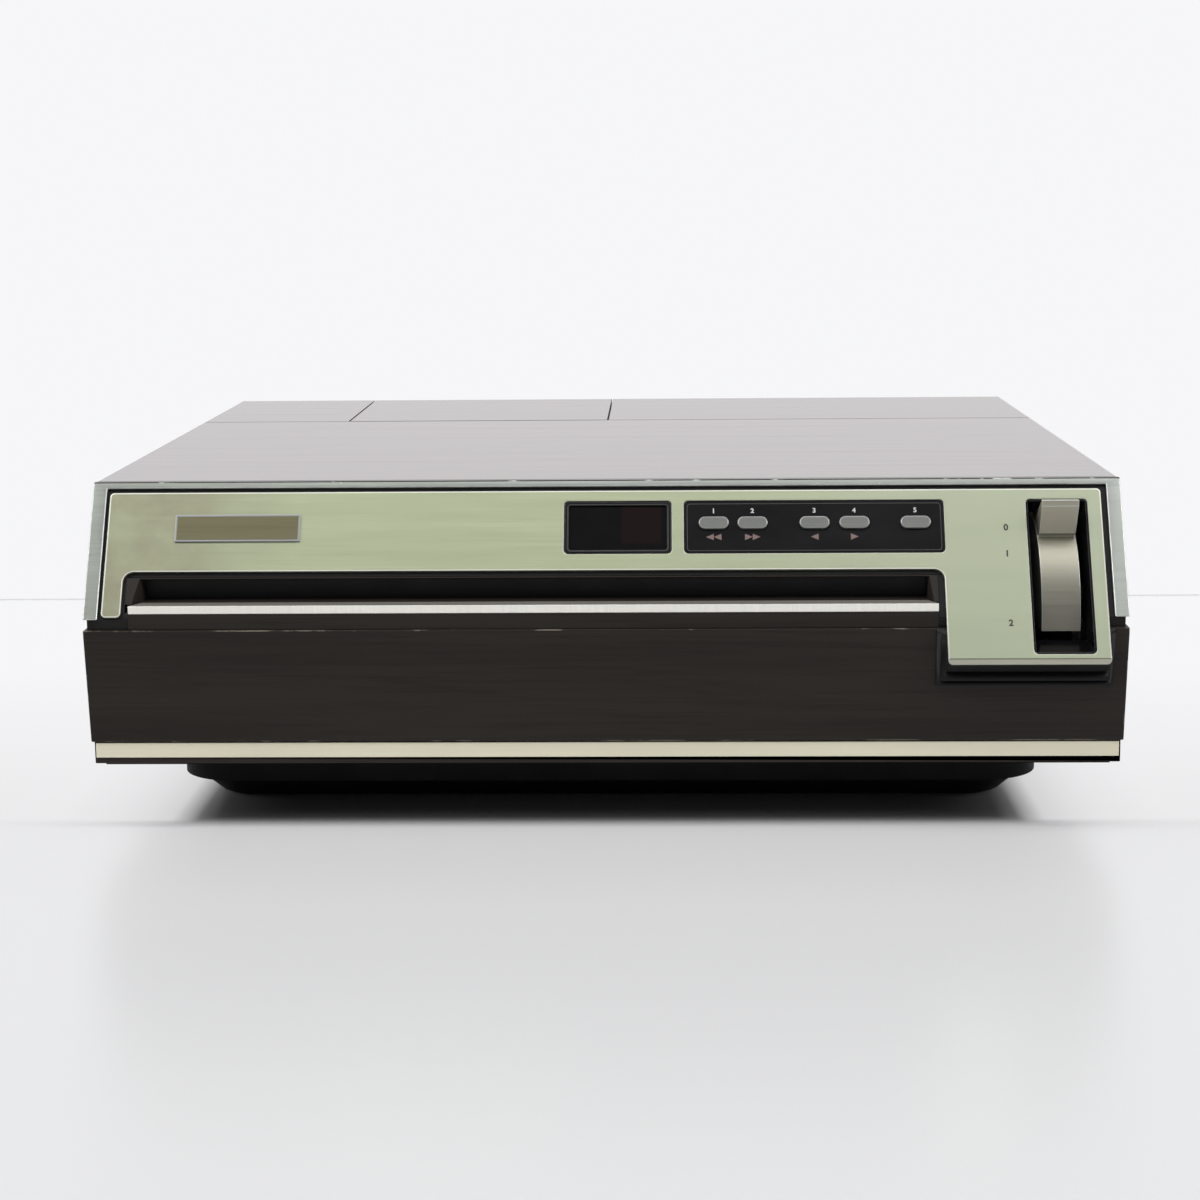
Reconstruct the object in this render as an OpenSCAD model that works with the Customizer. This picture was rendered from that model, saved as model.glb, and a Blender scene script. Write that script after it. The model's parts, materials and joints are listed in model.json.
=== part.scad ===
// Caddy-loading videodisc player, front-loading, as an openable assembly.
// X runs to the right, Y to the back and Z up. The origin is on the table, under the
// middle of the cabinet. All sizes are in millimetres.

/* [Cabinet] */
// Width over the cabinet sides
cab_w = 432; // [428:1:440]
// Depth from the nose of the control block to the rear edge
cab_d = 394; // [392:1:400]
// Height of the base pan and feet, from the table to the moulding
pan_h = 29.7; // [28:0.1:33]
// Height of the bottom moulding
moulding_h = 9.6; // [9:0.1:12]
// Height of the lower cabinet's sides
lower_h = 48.8; // [47:0.1:52]
// Height of the recessed band between the lower and upper cabinet
band_h = 4.4; // [4:0.1:6]
// Height of the upper cabinet, from the band to the top
upper_h = 53.5; // [53:0.1:56]
// Wall of the upper covers
cover_t = 3; // [2.5:0.1:3.2]
// Radius of the upper covers' long edges
cover_r = 1.5; // [0.5:0.1:2]
// Wall of the lower cabinet
lower_t = 4; // [3:0.1:4.2]
// How far the top front edge lies behind the prow
slope_run = 30.7; // [29:0.1:32]
// How far the nose of the control block stands in front of the prow
nose_reach = 10; // [9:0.1:11]
// How far the lower cabinet's front leans back from top to bottom
lower_run = 5.6; // [4:0.1:6]
// How far the lower cabinet's top edge stands in front of the prow
lower_lip = 0.6; // [0:0.1:1]
// How far the recessed band stands back from the cabinet sides
band_inset = 1.5; // [1:0.1:2]
// Distance from the prow back to the seam across the top
seam_setback = 270; // [268:1:274]
// Width of the seam and of the gap round the access door
seam_gap = 0.6; // [0.4:0.1:1]
// Depth at which the rear panel lies inside the rear edge
rear_inset = 2.5; // [2:0.1:3]
// Thickness of the rear panel
rear_t = 2; // [1.5:0.1:2.5]

/* [Moulding and strip] */
// How far the moulding stands back from the cabinet sides
moulding_inset = 1; // [0.5:0.1:1.5]
// Width of the moulding's ring
moulding_t = 8; // [7:0.5:9]
// Distance from the prow back to the moulding's front
moulding_setback = 6.5; // [6:0.1:7]
// Height of the metal strip
strip_h = 6.4; // [5:0.1:7]
// Thickness of the metal strip
strip_t = 1.8; // [1.5:0.1:2.2]
// How far the strip stands proud of the moulding
strip_proud = 0.8; // [0.5:0.1:1.2]
// Distance of the strip's top edge below the moulding's top
strip_drop = 0.5; // [0.3:0.1:1]
// Distance of the strip's ends inside the cabinet sides
strip_end = 1.7; // [1.2:0.1:3]

/* [Base pan] */
// Distance of the base pan's upper tier inside the cabinet sides
pan_side = 26; // [24:1:29]
// Distance from the prow back to the base pan's upper tier
pan_front = 48; // [44:1:52]
// Distance of the base pan's upper tier inside the rear edge
pan_rear = 34; // [32:1:36]
// Height at which the lower tier begins
pan_step_z = 11; // [10:0.5:13]
// How far the lower tier's bottom stands inside the upper tier
pan_taper = 14; // [12:0.5:16]
// Plan radius of the base pan's corners
pan_r = 26; // [20:1:30]
// Wall of the base pan
pan_t = 2.5; // [2:0.1:3]
// Thickness of the base pan's top flange
flange_t = 2; // [1.5:0.1:2.5]
// Radius of a rubber foot
foot_r = 9; // [7:0.5:11]
// Height of a rubber foot below the base pan
foot_h = 1.5; // [1:0.1:2.5]
// Distance of the feet from the base pan's sides
foot_side = 40; // [36:1:50]
// Distance of the feet from the base pan's ends
foot_inset = 32; // [30:1:40]

/* [Front frame and faceplate] */
// Width of the front frame's side bars
frame_side = 6; // [5:0.1:7]
// Width of the front frame's top bar
frame_top = 2.8; // [2.6:0.1:3.2]
// Thickness of the front frame
frame_t = 2.5; // [2:0.1:2.6]
// Thickness of the faceplate
face_t = 1.6; // [1.2:0.1:1.8]
// Distance of the faceplate's left edge inside the cabinet side
face_left = 7.6; // [7.2:0.1:8]
// Distance of the faceplate's right edge inside the cabinet side
face_right = 8.6; // [8:0.1:9]
// Distance down the slope to the faceplate's top edge
face_s0 = 4.9; // [4.6:0.1:5.4]
// Distance down the slope to the band's lower edge, over the disc slot
face_band_s = 40.4; // [40:0.1:41]
// Width of the faceplate's left leg
leg_w = 8; // [6:0.1:8.4]
// Distance down the slope to the left leg's end
leg_s = 60.5; // [58:0.1:61]
// Width of the faceplate's control block
block_w = 66.3; // [65.4:0.1:66.4]
// Radius of the faceplate's outer corners
face_r = 1.8; // [1:0.1:2.5]
// Radius of the faceplate's inner corners
notch_r = 4.5; // [3:0.1:5]
// Thickness of the panel carrier behind the faceplate
carrier_t = 3; // [2.5:0.1:3.2]
// Distance from the faceplate's left edge to the blank badge plate
badge_gap = 28.6; // [26.4:0.1:33.4]
// Width of the badge plate
badge_w = 52.6; // [45:0.1:56]
// Distance down the slope to the badge plate's top edge
badge_s = 15.2; // [12:0.1:17]
// Height of the badge plate
badge_h = 12.1; // [10:0.1:14]
// Thickness of the badge plate
badge_t = 0.8; // [0.5:0.1:1.2]

/* [Windows and buttons] */
// Width of the display window
display_w = 45.1; // [42:0.1:46]
// Distance between the display window and the button window
window_gap = 5; // [4:0.1:6]
// Width of the button window
keys_w = 108.5; // [106:0.1:109]
// Distance from the button window's right edge to the faceplate's right edge
keys_right = 65.4; // [64.9:0.1:65.9]
// Distance down the slope to the windows' top edges
window_s = 9.5; // [9:0.1:10]
// Height of the windows, measured down the slope
window_h = 23.8; // [23:0.1:24.5]
// Corner radius of the windows
window_r = 2; // [1:0.1:3]
// Thickness of the window inserts' fronts
insert_t = 1.6; // [1.2:0.1:1.8]
// How far the inserts lie behind the faceplate's front
insert_sink = 0.4; // [0.2:0.1:0.6]
// Length of a button
button_l = 12.6; // [11:0.1:13]
// Width of a button
button_h = 5.4; // [4.5:0.1:6]
// Distance down the slope to the buttons' middles
button_s = 19.8; // [18.5:0.1:21]
// How far a button stands proud of the faceplate
button_proud = 1.2; // [1:0.1:2]
// Travel of a button
button_travel = 1.5; // [1:0.1:1.8]

/* [Function lever] */
// Distance from the lever slot's right edge to the faceplate's right edge
well_right = 5.7; // [5.4:0.1:5.9]
// Width of the lever's slot
well_w = 25.7; // [25.2:0.1:26]
// Distance down the slope to the lever slot's bottom edge
well_s1 = 77.7; // [77:0.1:77.8]
// Radius of the lever's drum
drum_r = 45; // [44.5:0.1:45.2]
// Width of the lever's drum
drum_w = 16; // [15:0.1:16.4]
// Thickness of the drum's rim and cheeks
drum_t = 2; // [1.5:0.1:2.5]
// Distance down the slope to the drum's axis
drum_s = 42; // [41.5:0.1:42.5]
// Distance of the drum's axis behind the faceplate's front
drum_depth = 46.5; // [46.2:0.1:47]
// How far the finger tab stands proud of the faceplate
tab_proud = 10.2; // [9:0.1:11]
// Radius of the lever's shaft
shaft_r = 4; // [3.5:0.1:4.2]
// Turn of the lever from off to load, in degrees
lever_turn = 52; // [48:1:53]

/* [Disc slot and caddy way] */
// Distance of the disc slot's left edge inside the cabinet side
slot_left = 23; // [22.5:0.1:23.5]
// Distance from the disc slot's right edge to the control block
slot_right = 6.6; // [6.5:0.1:7.1]
// Height of the disc slot's floor over the recessed band
slot_rise = 5.8; // [5.6:0.1:6]
// Height of the disc slot
slot_h = 8.9; // [8.7:0.1:9]
// Distance of the slot surround's left edge outside the disc slot
throat_left = 5.9; // [5.6:0.1:6]
// Distance of the slot surround's right edge outside the disc slot
throat_right = 3.8; // [3.5:0.1:3.9]
// Depth of the slot surround behind the prow
throat_d = 18.2; // [18:0.1:18.3]
// Height of the bright bar under the slot
bar_h = 3.4; // [3:0.1:3.6]
// Depth of the bright bar
bar_d = 8; // [7:0.1:9]
// Distance of the bright bar's face behind the prow
bar_y = 0.3; // [0.2:0.1:0.8]
// Thickness of the caddy door
door_t = 1.5; // [1.2:0.1:1.6]
// Turn of the caddy door, in degrees
door_turn = 85; // [80:1:86]
// Radius of the caddy door's pins
door_pin_r = 1.2; // [1:0.1:1.4]
// Distance from the prow back to the caddy rails
rail_front = 37; // [36:1:45]
// Distance of the caddy rails' rear ends in front of the rear panel
rail_rear = 27.5; // [24.5:0.5:42]
// Thickness of the caddy rails
rail_t = 2.4; // [2:0.1:2.5]
// Width of the ledges that carry the caddy's edges
rail_ledge = 7; // [5:0.5:8]

/* [Disc drive] */
// How far the spindle stands in front of the middle of the depth
spindle_shift = 5; // [4:0.5:6]
// Distance of the turntable's edge inside the disc slot's ends
table_margin = 38.75; // [37:0.25:50]
// Thickness of the turntable's plate
table_t = 4; // [3:0.1:5]
// Height of the disc slot's floor over the turntable's top
table_drop = 4.3; // [4.1:0.1:4.7]
// Radius of the hub that centres the disc
hub_r = 18.9; // [18.5:0.1:19]
// Height of that hub over the turntable
hub_h = 3; // [2:0.1:3.4]
// Thickness of the turntable's mat
mat_t = 0.8; // [0.5:0.1:1]
// Radius of the belt ring under the turntable
ring_r = 62; // [55:0.5:66]
// Radius of the motor's pulley
pulley_r = 15.5; // [12:0.5:18]
// Distance between the spindle and the motor
motor_reach = 95; // [92:1:98]
// Direction from the spindle to the motor, in degrees
motor_angle = 42.5; // [40:0.5:46]
// Radius of the drive motor
motor_r = 32; // [28:0.5:34]
// Radius of the turntable's axle
axle_r = 4; // [3.5:0.1:4.5]
// Thickness of the belt
belt_t = 1; // [0.8:0.1:1.2]
// Height of the belt
belt_h = 5; // [4:0.1:6]
// Height of the chassis plate's top over the lower cabinet's foot
chassis_rise = 12.7; // [12.2:0.1:13.2]
// Thickness of the chassis plate
chassis_t = 2; // [1.5:0.1:2.5]
// Lift of the receiver pads
pad_lift = 4.5; // [4:0.1:4.6]
// Width of the lifter frame's bars
lifter_w = 10; // [8:0.5:10.5]
// Radius of the lifter's guide posts
guide_r = 2.5; // [2:0.1:3]

/* [Pickup] */
// Length of the pickup carriage along its travel
carriage_l = 58; // [54:1:60]
// Travel of the pickup carriage
carriage_travel = 85; // [70:1:86]
// Radius of the carriage's rods
rod_r = 3; // [2.5:0.1:3.2]
// Radius at which the pinion meets the rack
pinion_r = 8; // [8:2:8]
// Height of the carriage's rack
rack_h = 6; // [4:0.5:7]
// Turn of the pickup arm as it lowers the stylus, in degrees
arm_turn = 9; // [6:0.5:9]
// Distance of the stylus access door's left edge inside the cabinet side
access_left = 76.4; // [76:0.1:77]
// Width of the stylus access door
access_w = 136.2; // [135:0.1:137]
// Turn of the stylus access door, in degrees
access_turn = 95; // [90:1:96]
// Radius of the access door's pins
access_pin_r = 1.5; // [1.2:0.1:1.8]

/* [Rear connectors] */
// Radius of a coaxial jack's barrel
jack_r = 4.7; // [4.6:0.05:4.8]
// Length of a jack's barrel outside its pocket's floor
jack_l = 8; // [7:0.1:9]
// Distance between the two jacks
jack_pitch = 25; // [22:1:26]
// Distance of the first jack inside the cabinet side
jack_side = 86; // [85:1:88]
// Radius of the cord gland's bore
gland_r = 3.5; // [3:0.1:4]
// Travel of the channel switch
switch_travel = 4; // [3:0.1:4]

/* [Fits] */
// Running clearance of a shaft in its bore
run_fit = 0.05; // [0.03:0.01:0.08]
// Clearance between moving pieces that don't touch
free_gap = 0.4; // [0.35:0.05:0.5]
// Clearance between fixed pieces
seat_gap = 0.1; // [0.05:0.05:0.2]

/* [Hidden] */
$fn = 64;
eps = 0.01;
far = 500;
z_mould = pan_h;
z_low = z_mould + moulding_h;
z_band = z_low + lower_h;
z_upper = z_band + band_h;
z_top = z_upper + upper_h;
front_y = -cab_d / 2;
rear_y = cab_d / 2;
prow_y = front_y + nose_reach;
brow_y = prow_y + slope_run;
seam_y = prow_y + seam_setback;
side_x = cab_w / 2;
face_x0 = -side_x + face_left;
face_x1 = side_x - face_right;
block_x0 = face_x1 - block_w;
badge_x0 = face_x0 + badge_gap;
keys_x0 = face_x1 - keys_right - keys_w;
display_x0 = keys_x0 - window_gap - display_w;
slot_x0 = -side_x + slot_left;
slot_x1 = block_x0 - slot_right;
slot_z0 = z_upper + slot_rise;
throat_x0 = slot_x0 - throat_left;
throat_x1 = slot_x1 + throat_right;
access_x0 = -side_x + access_left;
access_x1 = access_x0 + access_w;
spindle_x = (slot_x0 + slot_x1) / 2;
spindle_y = -spindle_shift;
table_r = (slot_x1 - slot_x0) / 2 - table_margin;
table_z = slot_z0 - table_drop;
chassis_z = z_low + chassis_rise;
pan_x = side_x - pan_side;
pan_y0 = prow_y + pan_front;
pan_y1 = rear_y - pan_rear;
lean = atan2(slope_run, upper_h);
slope_len = norm([slope_run, upper_h]);
block_len = (slope_run + nose_reach) / sin(lean);
rear_panel_y = rear_y - rear_inset - rear_t;
frame_x = side_x - frame_side;
carrier_back = face_t + carrier_t;
slot_top = slot_z0 + slot_h;
throat_wall = 1.2;
throat_top = slot_top + throat_wall;
well_x1 = face_x1 - well_right;
well_x0 = well_x1 - well_w;
well_s0 = window_s;
drum_x0 = well_x0 + (well_w - drum_w) / 2;
drum_x1 = drum_x0 + drum_w;
lever_y = panel_y(drum_s, -drum_depth);
lever_z = panel_z(drum_s, -drum_depth);
floor_z = foot_h + pan_t;
hinge_inset = 6;
hinge_y = rear_y - hinge_inset;
hinge_z = z_top - hinge_inset;
flap_y = prow_y + throat_d + 2.8;
flap_z = slot_top + 4.3;
deck_z = slot_top + 2.6;
deck_t = 1.5;
rod_z = deck_z + 11.2;
rod_x0 = spindle_x - 117.75;
rod_x1 = spindle_x + 32.25;
carriage_y1 = rear_panel_y - 16.5;
carriage_y0 = carriage_y1 - carriage_l;
carriage_z0 = deck_z + deck_t + 1.7;
carriage_h = 24;
tooth_pitch = PI;
pinion_teeth = round(2 * pinion_r);
pinion_y = carriage_y0 - 28;
rack_x = rod_x1 + 10;
bar_mid_x0 = slot_x1 + 0.5;
bar_mid_x1 = bar_mid_x0 + 15;
jack_x = side_x - jack_side;
jack_z = chassis_z + 17;
pocket_d = 12;
pocket_y = rear_panel_y - pocket_d;
gland_x = -side_x + 38;
gland_z = chassis_z + 10;
motor_x = spindle_x + motor_reach * cos(motor_angle);
motor_y = spindle_y + motor_reach * sin(motor_angle);
belt_z = chassis_z + 22;
// The buttons' middles, from the button window's left edge
button_places = [12.5, 28.7, 54.5, 71.1, keys_w - 12];
button_x = [for (x = button_places) keys_x0 + x];
lifter_half_x = table_r + 6;
lifter_half_y = table_r + 13;
lifter_x0 = spindle_x - lifter_half_x - lifter_w;
lifter_x1 = spindle_x + lifter_half_x + lifter_w;
lifter_y0 = spindle_y - lifter_half_y - lifter_w;
lifter_y1 = spindle_y + lifter_half_y + lifter_w;
lifter_t = 2.5;
lifter_z = table_z - pad_lift - lifter_t - 3.5;
guide_x = [lifter_x0 + lifter_w / 2, lifter_x1 - lifter_w / 2];
guide_y = [lifter_y0 + lifter_w / 2, lifter_y1 - lifter_w / 2];

// ---------- places and shapes used by several pieces ----------

// Where a point s down the slope and d out from the faceplate's front lies
function panel_y(s, d) = brow_y - s * sin(lean) - d * cos(lean);
function panel_z(s, d) = z_top - s * cos(lean) + d * sin(lean);
function panel_point(s, d) = [panel_y(s, d), panel_z(s, d)];

// The lower cabinet's front at a height
function low_face_y(z) = prow_y - lower_lip + (z_band - z) * lower_run / lower_h;

// Places children on the sloping front: x across, -y down the slope, z out of it
module on_panel() {
    translate([0, brow_y, z_top])
        rotate([90 - lean, 0, 0])
            children();
}

// A box from its lowest to its highest corner
module span(a, b) {
    translate(a)
        cube(b - a);
}

// A side view, drawn in Y and Z, stretched from x0 to x1
module side_extrude(x0, x1) {
    translate([x0, 0, 0])
        rotate([90, 0, 90])
            linear_extrude(x1 - x0)
                children();
}

// A front view, drawn in X and Z, stretched from y0 to y1
module front_extrude(y0, y1) {
    translate([0, y1, 0])
        rotate([90, 0, 0])
            linear_extrude(y1 - y0)
                children();
}

// A rectangle between two corners with round corners
module rrect(x0, y0, x1, y1, r) {
    translate([x0 + r, y0])
        square([x1 - x0 - 2 * r, y1 - y0]);
    translate([x0, y0 + r])
        square([x1 - x0, y1 - y0 - 2 * r]);
    for (x = [x0 + r, x1 - r], y = [y0 + r, y1 - r])
        translate([x, y])
            circle(r);
}

// A rectangle on the slope, from s0 to s1 down it, between two depths
module panel_box(x0, x1, s0, s1, d0, d1, r = 0) {
    on_panel()
        translate([0, 0, d0])
            linear_extrude(d1 - d0)
                if (r > 0)
                    rrect(x0, -s1, x1, -s0, r);
                else
                    translate([x0, -s1])
                        square([x1 - x0, s1 - s0]);
}

// A straight rod along X, between two places
module x_rod(x0, x1, y, z, r) {
    translate([x0, y, z])
        rotate([0, 90, 0])
            cylinder(h = x1 - x0, r = r);
}

// A straight rod along Y, between two places
module y_rod(x, y0, y1, z, r) {
    translate([x, y1, z])
        rotate([90, 0, 0])
            cylinder(h = y1 - y0, r = r);
}

// Everything behind a plane parallel to the slope, d behind the faceplate's front
module behind_panel(d) {
    panel_box(-far, far, -far, far, -far, -d);
}

// ---------- cabinet ----------

// A level slice of the base pan, grown or shrunk all round by inset
module pan_plan(inset) {
    rrect(-pan_x + inset, pan_y0 + inset, pan_x - inset, pan_y1 - inset, pan_r - inset / 2);
}

module pan_lower_tier(inset, z0, z1) {
    hull() {
        translate([0, 0, z0])
            linear_extrude(eps, $fn = 32)
                pan_plan(pan_taper + inset);
        translate([0, 0, z1 - eps])
            linear_extrude(eps, $fn = 32)
                pan_plan(pan_taper / 3 + inset);
    }
}

post_r = 5;
post_x = [-pan_x + 26, spindle_x + 89.25, pan_x - 26];
post_y = [pan_y0 + 24, pan_y1 - 31];
board_x0 = -pan_x + 33;
board_x1 = spindle_x + 31.25;
board_y0 = pan_y0 + 23;
board_y1 = pan_y1 - 13;
board_post_r = 3;
board_post_x = [board_x0 + 9, board_x1 - 14];
board_post_y = [board_y0 + 11, board_y1 - 12];
board_z = floor_z + 10;

module foot_places() {
    for (x = [-pan_x + foot_side, pan_x - foot_side], y = [pan_y0 + foot_inset, pan_y1 - foot_inset])
        translate([x, y, 0])
            children();
}

base_screw_r = 1.6;
base_head_r = 4;
base_head_h = 2;
base_boss_r = 8;
base_boss_z = floor_z + base_head_h;

module base_pan() {
    vent_w = 4;
    vent_l = 60;
    vent_pitch = 12;
    vent_y = spindle_y - 55;
    flange_x = side_x - cover_t - 1;
    color("#1d1c1b")
        difference() {
            union() {
                translate([0, 0, pan_step_z])
                    linear_extrude(pan_h - pan_step_z)
                        pan_plan(0);
                pan_lower_tier(0, foot_h, pan_step_z + eps);
                span([-flange_x, low_face_y(z_low) + moulding_t, pan_h - flange_t],
                    [flange_x, rear_y - moulding_t, pan_h]);
            }
            difference() {
                union() {
                    translate([0, 0, pan_step_z])
                        linear_extrude(far)
                            pan_plan(pan_t);
                    pan_lower_tier(pan_t, floor_z, pan_step_z + 2 * eps);
                }
                for (x = post_x, y = post_y)
                    translate([x, y, 0])
                        cylinder(h = base_boss_z, r = base_boss_r);
                for (x = board_post_x, y = board_post_y)
                    translate([x, y, 0])
                        cylinder(h = board_z, r = board_post_r);
            }
            for (x = post_x, y = post_y)
                translate([x, y, 0]) {
                    cylinder(h = far, r = base_screw_r);
                    cylinder(h = floor_z, r = base_head_r + free_gap);
                }
            for (i = [-4 : 4])
                span([motor_x + i * vent_pitch - vent_w / 2, vent_y, 0],
                    [motor_x + i * vent_pitch + vent_w / 2, vent_y + vent_l, floor_z + 1]);
        }
}

module rubber_feet() {
    color("#0f0f0f")
        foot_places() {
            cylinder(h = foot_h, r = foot_r);
        }
}

module bottom_moulding() {
    groove = strip_t - strip_proud;
    color("#3b2f29")
        difference() {
            span([-side_x + moulding_inset, prow_y + moulding_setback, z_mould],
                [side_x - moulding_inset, rear_y - moulding_inset, z_low]);
            span([-side_x + moulding_inset + moulding_t, prow_y + moulding_setback + moulding_t,
                    z_mould - 1],
                [side_x - moulding_inset - moulding_t, rear_y - moulding_inset - moulding_t,
                    z_low + 1]);
            span([-side_x + strip_end, prow_y, z_low - strip_drop - strip_h],
                [side_x - strip_end, prow_y + moulding_setback + groove, z_low - strip_drop]);
        }
}

module trim_strip() {
    y = prow_y + moulding_setback - strip_proud;
    color("#cfc8ac")
        span([-side_x + strip_end, y, z_low - strip_drop - strip_h],
            [side_x - strip_end, y + strip_t, z_low - strip_drop]);
}

nose_x0 = block_x0;
nose_x1 = face_x1 - 0.9;
nose_z = z_band - 22.1;

module lower_cabinet() {
    color("#33291f")
        difference() {
            side_extrude(-side_x, side_x)
                polygon([[low_face_y(z_band), z_band], [rear_y, z_band], [rear_y, z_low],
                    [low_face_y(z_low), z_low]]);
            side_extrude(-side_x + lower_t, side_x - lower_t)
                polygon([[low_face_y(z_band + 1) + lower_t, z_band + 1], [rear_y + 1, z_band + 1],
                    [rear_y + 1, z_low - 1], [low_face_y(z_low - 1) + lower_t, z_low - 1]]);
            span([nose_x0, front_y, nose_z], [nose_x1, prow_y + 12, z_band + 1]);
        }
}

rear_screw_x = [-side_x + 26, -60, 80, side_x - 16];
rear_screw_r = 1.5;

module mid_frame() {
    side_t = 14.5;
    end_t = 10.5;
    x = side_x - band_inset;
    y0 = prow_y + band_inset;
    y1 = rear_panel_y - seat_gap;
    color("#1b1a19")
        difference() {
            union() {
                difference() {
                    span([-x, y0, z_band], [x, y1, z_upper]);
                    span([-x + side_t, y0 + end_t, z_band - 1], [x - side_t, y1 - end_t, z_upper + 1]);
                }
                span([bar_mid_x0, y0 + 1, z_band], [bar_mid_x1, y1 - 1, z_upper]);
            }
            span([nose_x0, front_y, z_band - 1], [face_x1 + 0.3, y0 + end_t + 1, z_upper + 1]);
            x_rod(bar_mid_x0 - 1, bar_mid_x1 + 1, lever_y, lever_z, shaft_r + free_gap);
            span([bracket_x[1] - 5, lever_y - bracket_half - 1, z_band - 1],
                [bracket_x[1] + bracket_t + 3, lever_y + bracket_half + 1, z_upper + 1]);
            for (x = rear_screw_x)
                y_rod(x, y1 - 8, y1 + 1, (z_band + z_upper) / 2, rear_screw_r);
        }
}

// The front view of the upper covers, in X and Z
module cover_section() {
    difference() {
        rrect(-side_x, z_upper - 5, side_x, z_top, cover_r);
        translate([-far, z_upper - far])
            square([2 * far, far]);
        translate([-side_x + cover_t, z_upper - 6])
            square([cab_w - 2 * cover_t, upper_h + 6 - cover_t]);
    }
}

module top_cover() {
    color("#4a3c36")
        intersection() {
            front_extrude(prow_y - 5, seam_y)
                cover_section();
            behind_panel(frame_t);
        }
}

sill_w = 7;
sill_gap = 0.3;
door_knuckle_r = 3.4;
door_knuckle_w = 8;

module rear_top_cover() {
    y0 = seam_y + seam_gap;
    sill_z = z_top - cover_t - 2.4;
    lug_w = 4;
    color("#4a3c36")
        difference() {
            union() {
                front_extrude(y0, rear_y)
                    cover_section();
                difference() {
                    span([access_x0 - sill_w, y0, sill_z],
                        [access_x1 + sill_w, rear_y - 24, z_top - cover_t + eps]);
                    span([access_x0 + sill_w, y0 + sill_w, sill_z - 1],
                        [access_x1 - sill_w, rear_y, z_top]);
                }
                for (x = [access_x0 - lug_w, access_x1])
                    span([x, hinge_y - 4, hinge_z - 4],
                        [x + lug_w, hinge_y + 4, z_top - cover_t + eps]);
            }
            span([access_x0, seam_y, z_top - cover_t - sill_gap], [access_x1, rear_y + 1, z_top + 1]);
            x_rod(access_x0 - lug_w - 1, access_x1 + lug_w + 1, hinge_y, hinge_z, access_pin_r);
        }
}

module stylus_door_pins() {
    lug_w = 4;
    reach = seam_gap + door_knuckle_w;
    color("#b9b7b0")
        for (x = [[access_x0 - lug_w, access_x0 + reach], [access_x1 - reach, access_x1 + lug_w]])
            x_rod(x[0], x[1], hinge_y, hinge_z, access_pin_r);
}

module stylus_door() {
    x0 = access_x0 + seam_gap;
    x1 = access_x1 - seam_gap;
    lip_h = 14;
    lip_t = 2;
    color("#4a3c36")
        difference() {
            union() {
                span([x0, seam_y + 2 * seam_gap, z_top - cover_t], [x1, rear_y, z_top]);
                span([x0, rear_y - lip_t, z_top - lip_h], [x1, rear_y, z_top]);
                for (x = [x0, x1 - door_knuckle_w]) {
                    x_rod(x, x + door_knuckle_w, hinge_y, hinge_z, door_knuckle_r);
                    span([x, hinge_y - door_knuckle_r, hinge_z],
                        [x + door_knuckle_w, hinge_y + door_knuckle_r, z_top - 1]);
                }
            }
            x_rod(x0 - 1, x1 + 1, hinge_y, hinge_z, access_pin_r + run_fit);
        }
}

// ---------- sloping front ----------

module front_frame() {
    color("#9aa29c")
        intersection() {
            difference() {
                panel_box(-side_x, side_x, -10, slope_len + 10, -frame_t, 0);
                panel_box(-frame_x, frame_x, frame_top, slope_len + 20, -far, far);
            }
            span([-far, -far, z_upper], [far, far, z_top]);
        }
}

module panel_carrier() {
    edge = 0.2;
    x_in = frame_x - edge;
    x_out = side_x - cover_t - edge;
    boss_r = 2.5;
    color("#151515")
        difference() {
            union() {
                intersection() {
                    union() {
                        panel_box(-x_in, x_in, frame_top + edge, slope_len + 5, -carrier_back, -face_t);
                        panel_box(-x_out, x_out, frame_top - 1, slope_len + 5, -carrier_back, -frame_t);
                    }
                    span([-far, -far, z_upper], [far, far, z_top - cover_t - edge]);
                }
                panel_box(nose_x0 + 2.6, nose_x1 - 2.2, slope_len - 12, block_len - 2.8,
                    -carrier_back, -face_t);
                for (p = board_bosses)
                    on_panel()
                        translate([p.x, -p.y, -board_depth])
                            cylinder(h = board_depth - carrier_back + eps, r = boss_r);
            }
            span([throat_x0 - edge, front_y - 1, z_upper - 30],
                [throat_x1 + edge, seam_y, throat_top + edge]);
            panel_box(display_x0 + edge, display_x0 + display_w - edge, window_s + edge,
                window_s + window_h - edge, -far, far, window_r);
            panel_box(keys_x0 + edge, keys_x0 + keys_w - edge, window_s + edge,
                window_s + window_h - edge, -carrier_back - eps, far, window_r);
            panel_box(well_x0 - edge, well_x1 + edge, well_s0 - edge, well_s1 + edge,
                -far, far, window_r);
        }
}

// The faceplate's outline on the slope, smaller by inset all round
module face_outline() {
    x0 = face_x0;
    x1 = face_x1;
    leg_x = x0 + leg_w;
    difference() {
        union() {
            rrect(x0, -face_band_s, x1, -face_s0, face_r);
            rrect(x0, -leg_s, leg_x, -face_s0, face_r);
            rrect(block_x0, -block_len, x1, -face_s0, face_r);
            translate([x0, -face_band_s])
                square([leg_w, face_r * 2]);
            translate([x1 - 10, -face_band_s])
                square([10, face_r * 2]);
            translate([leg_x - eps, -face_band_s - notch_r])
                square([notch_r + eps, notch_r + face_r]);
            translate([block_x0 - notch_r, -face_band_s - notch_r])
                square([notch_r + eps, notch_r + face_r]);
        }
        translate([leg_x + notch_r, -face_band_s - notch_r])
            circle(notch_r);
        translate([block_x0 - notch_r, -face_band_s - notch_r])
            circle(notch_r);
    }
}

module window_outline(x0, w) {
    rrect(x0, -window_s - window_h, x0 + w, -window_s, window_r);
}

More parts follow.
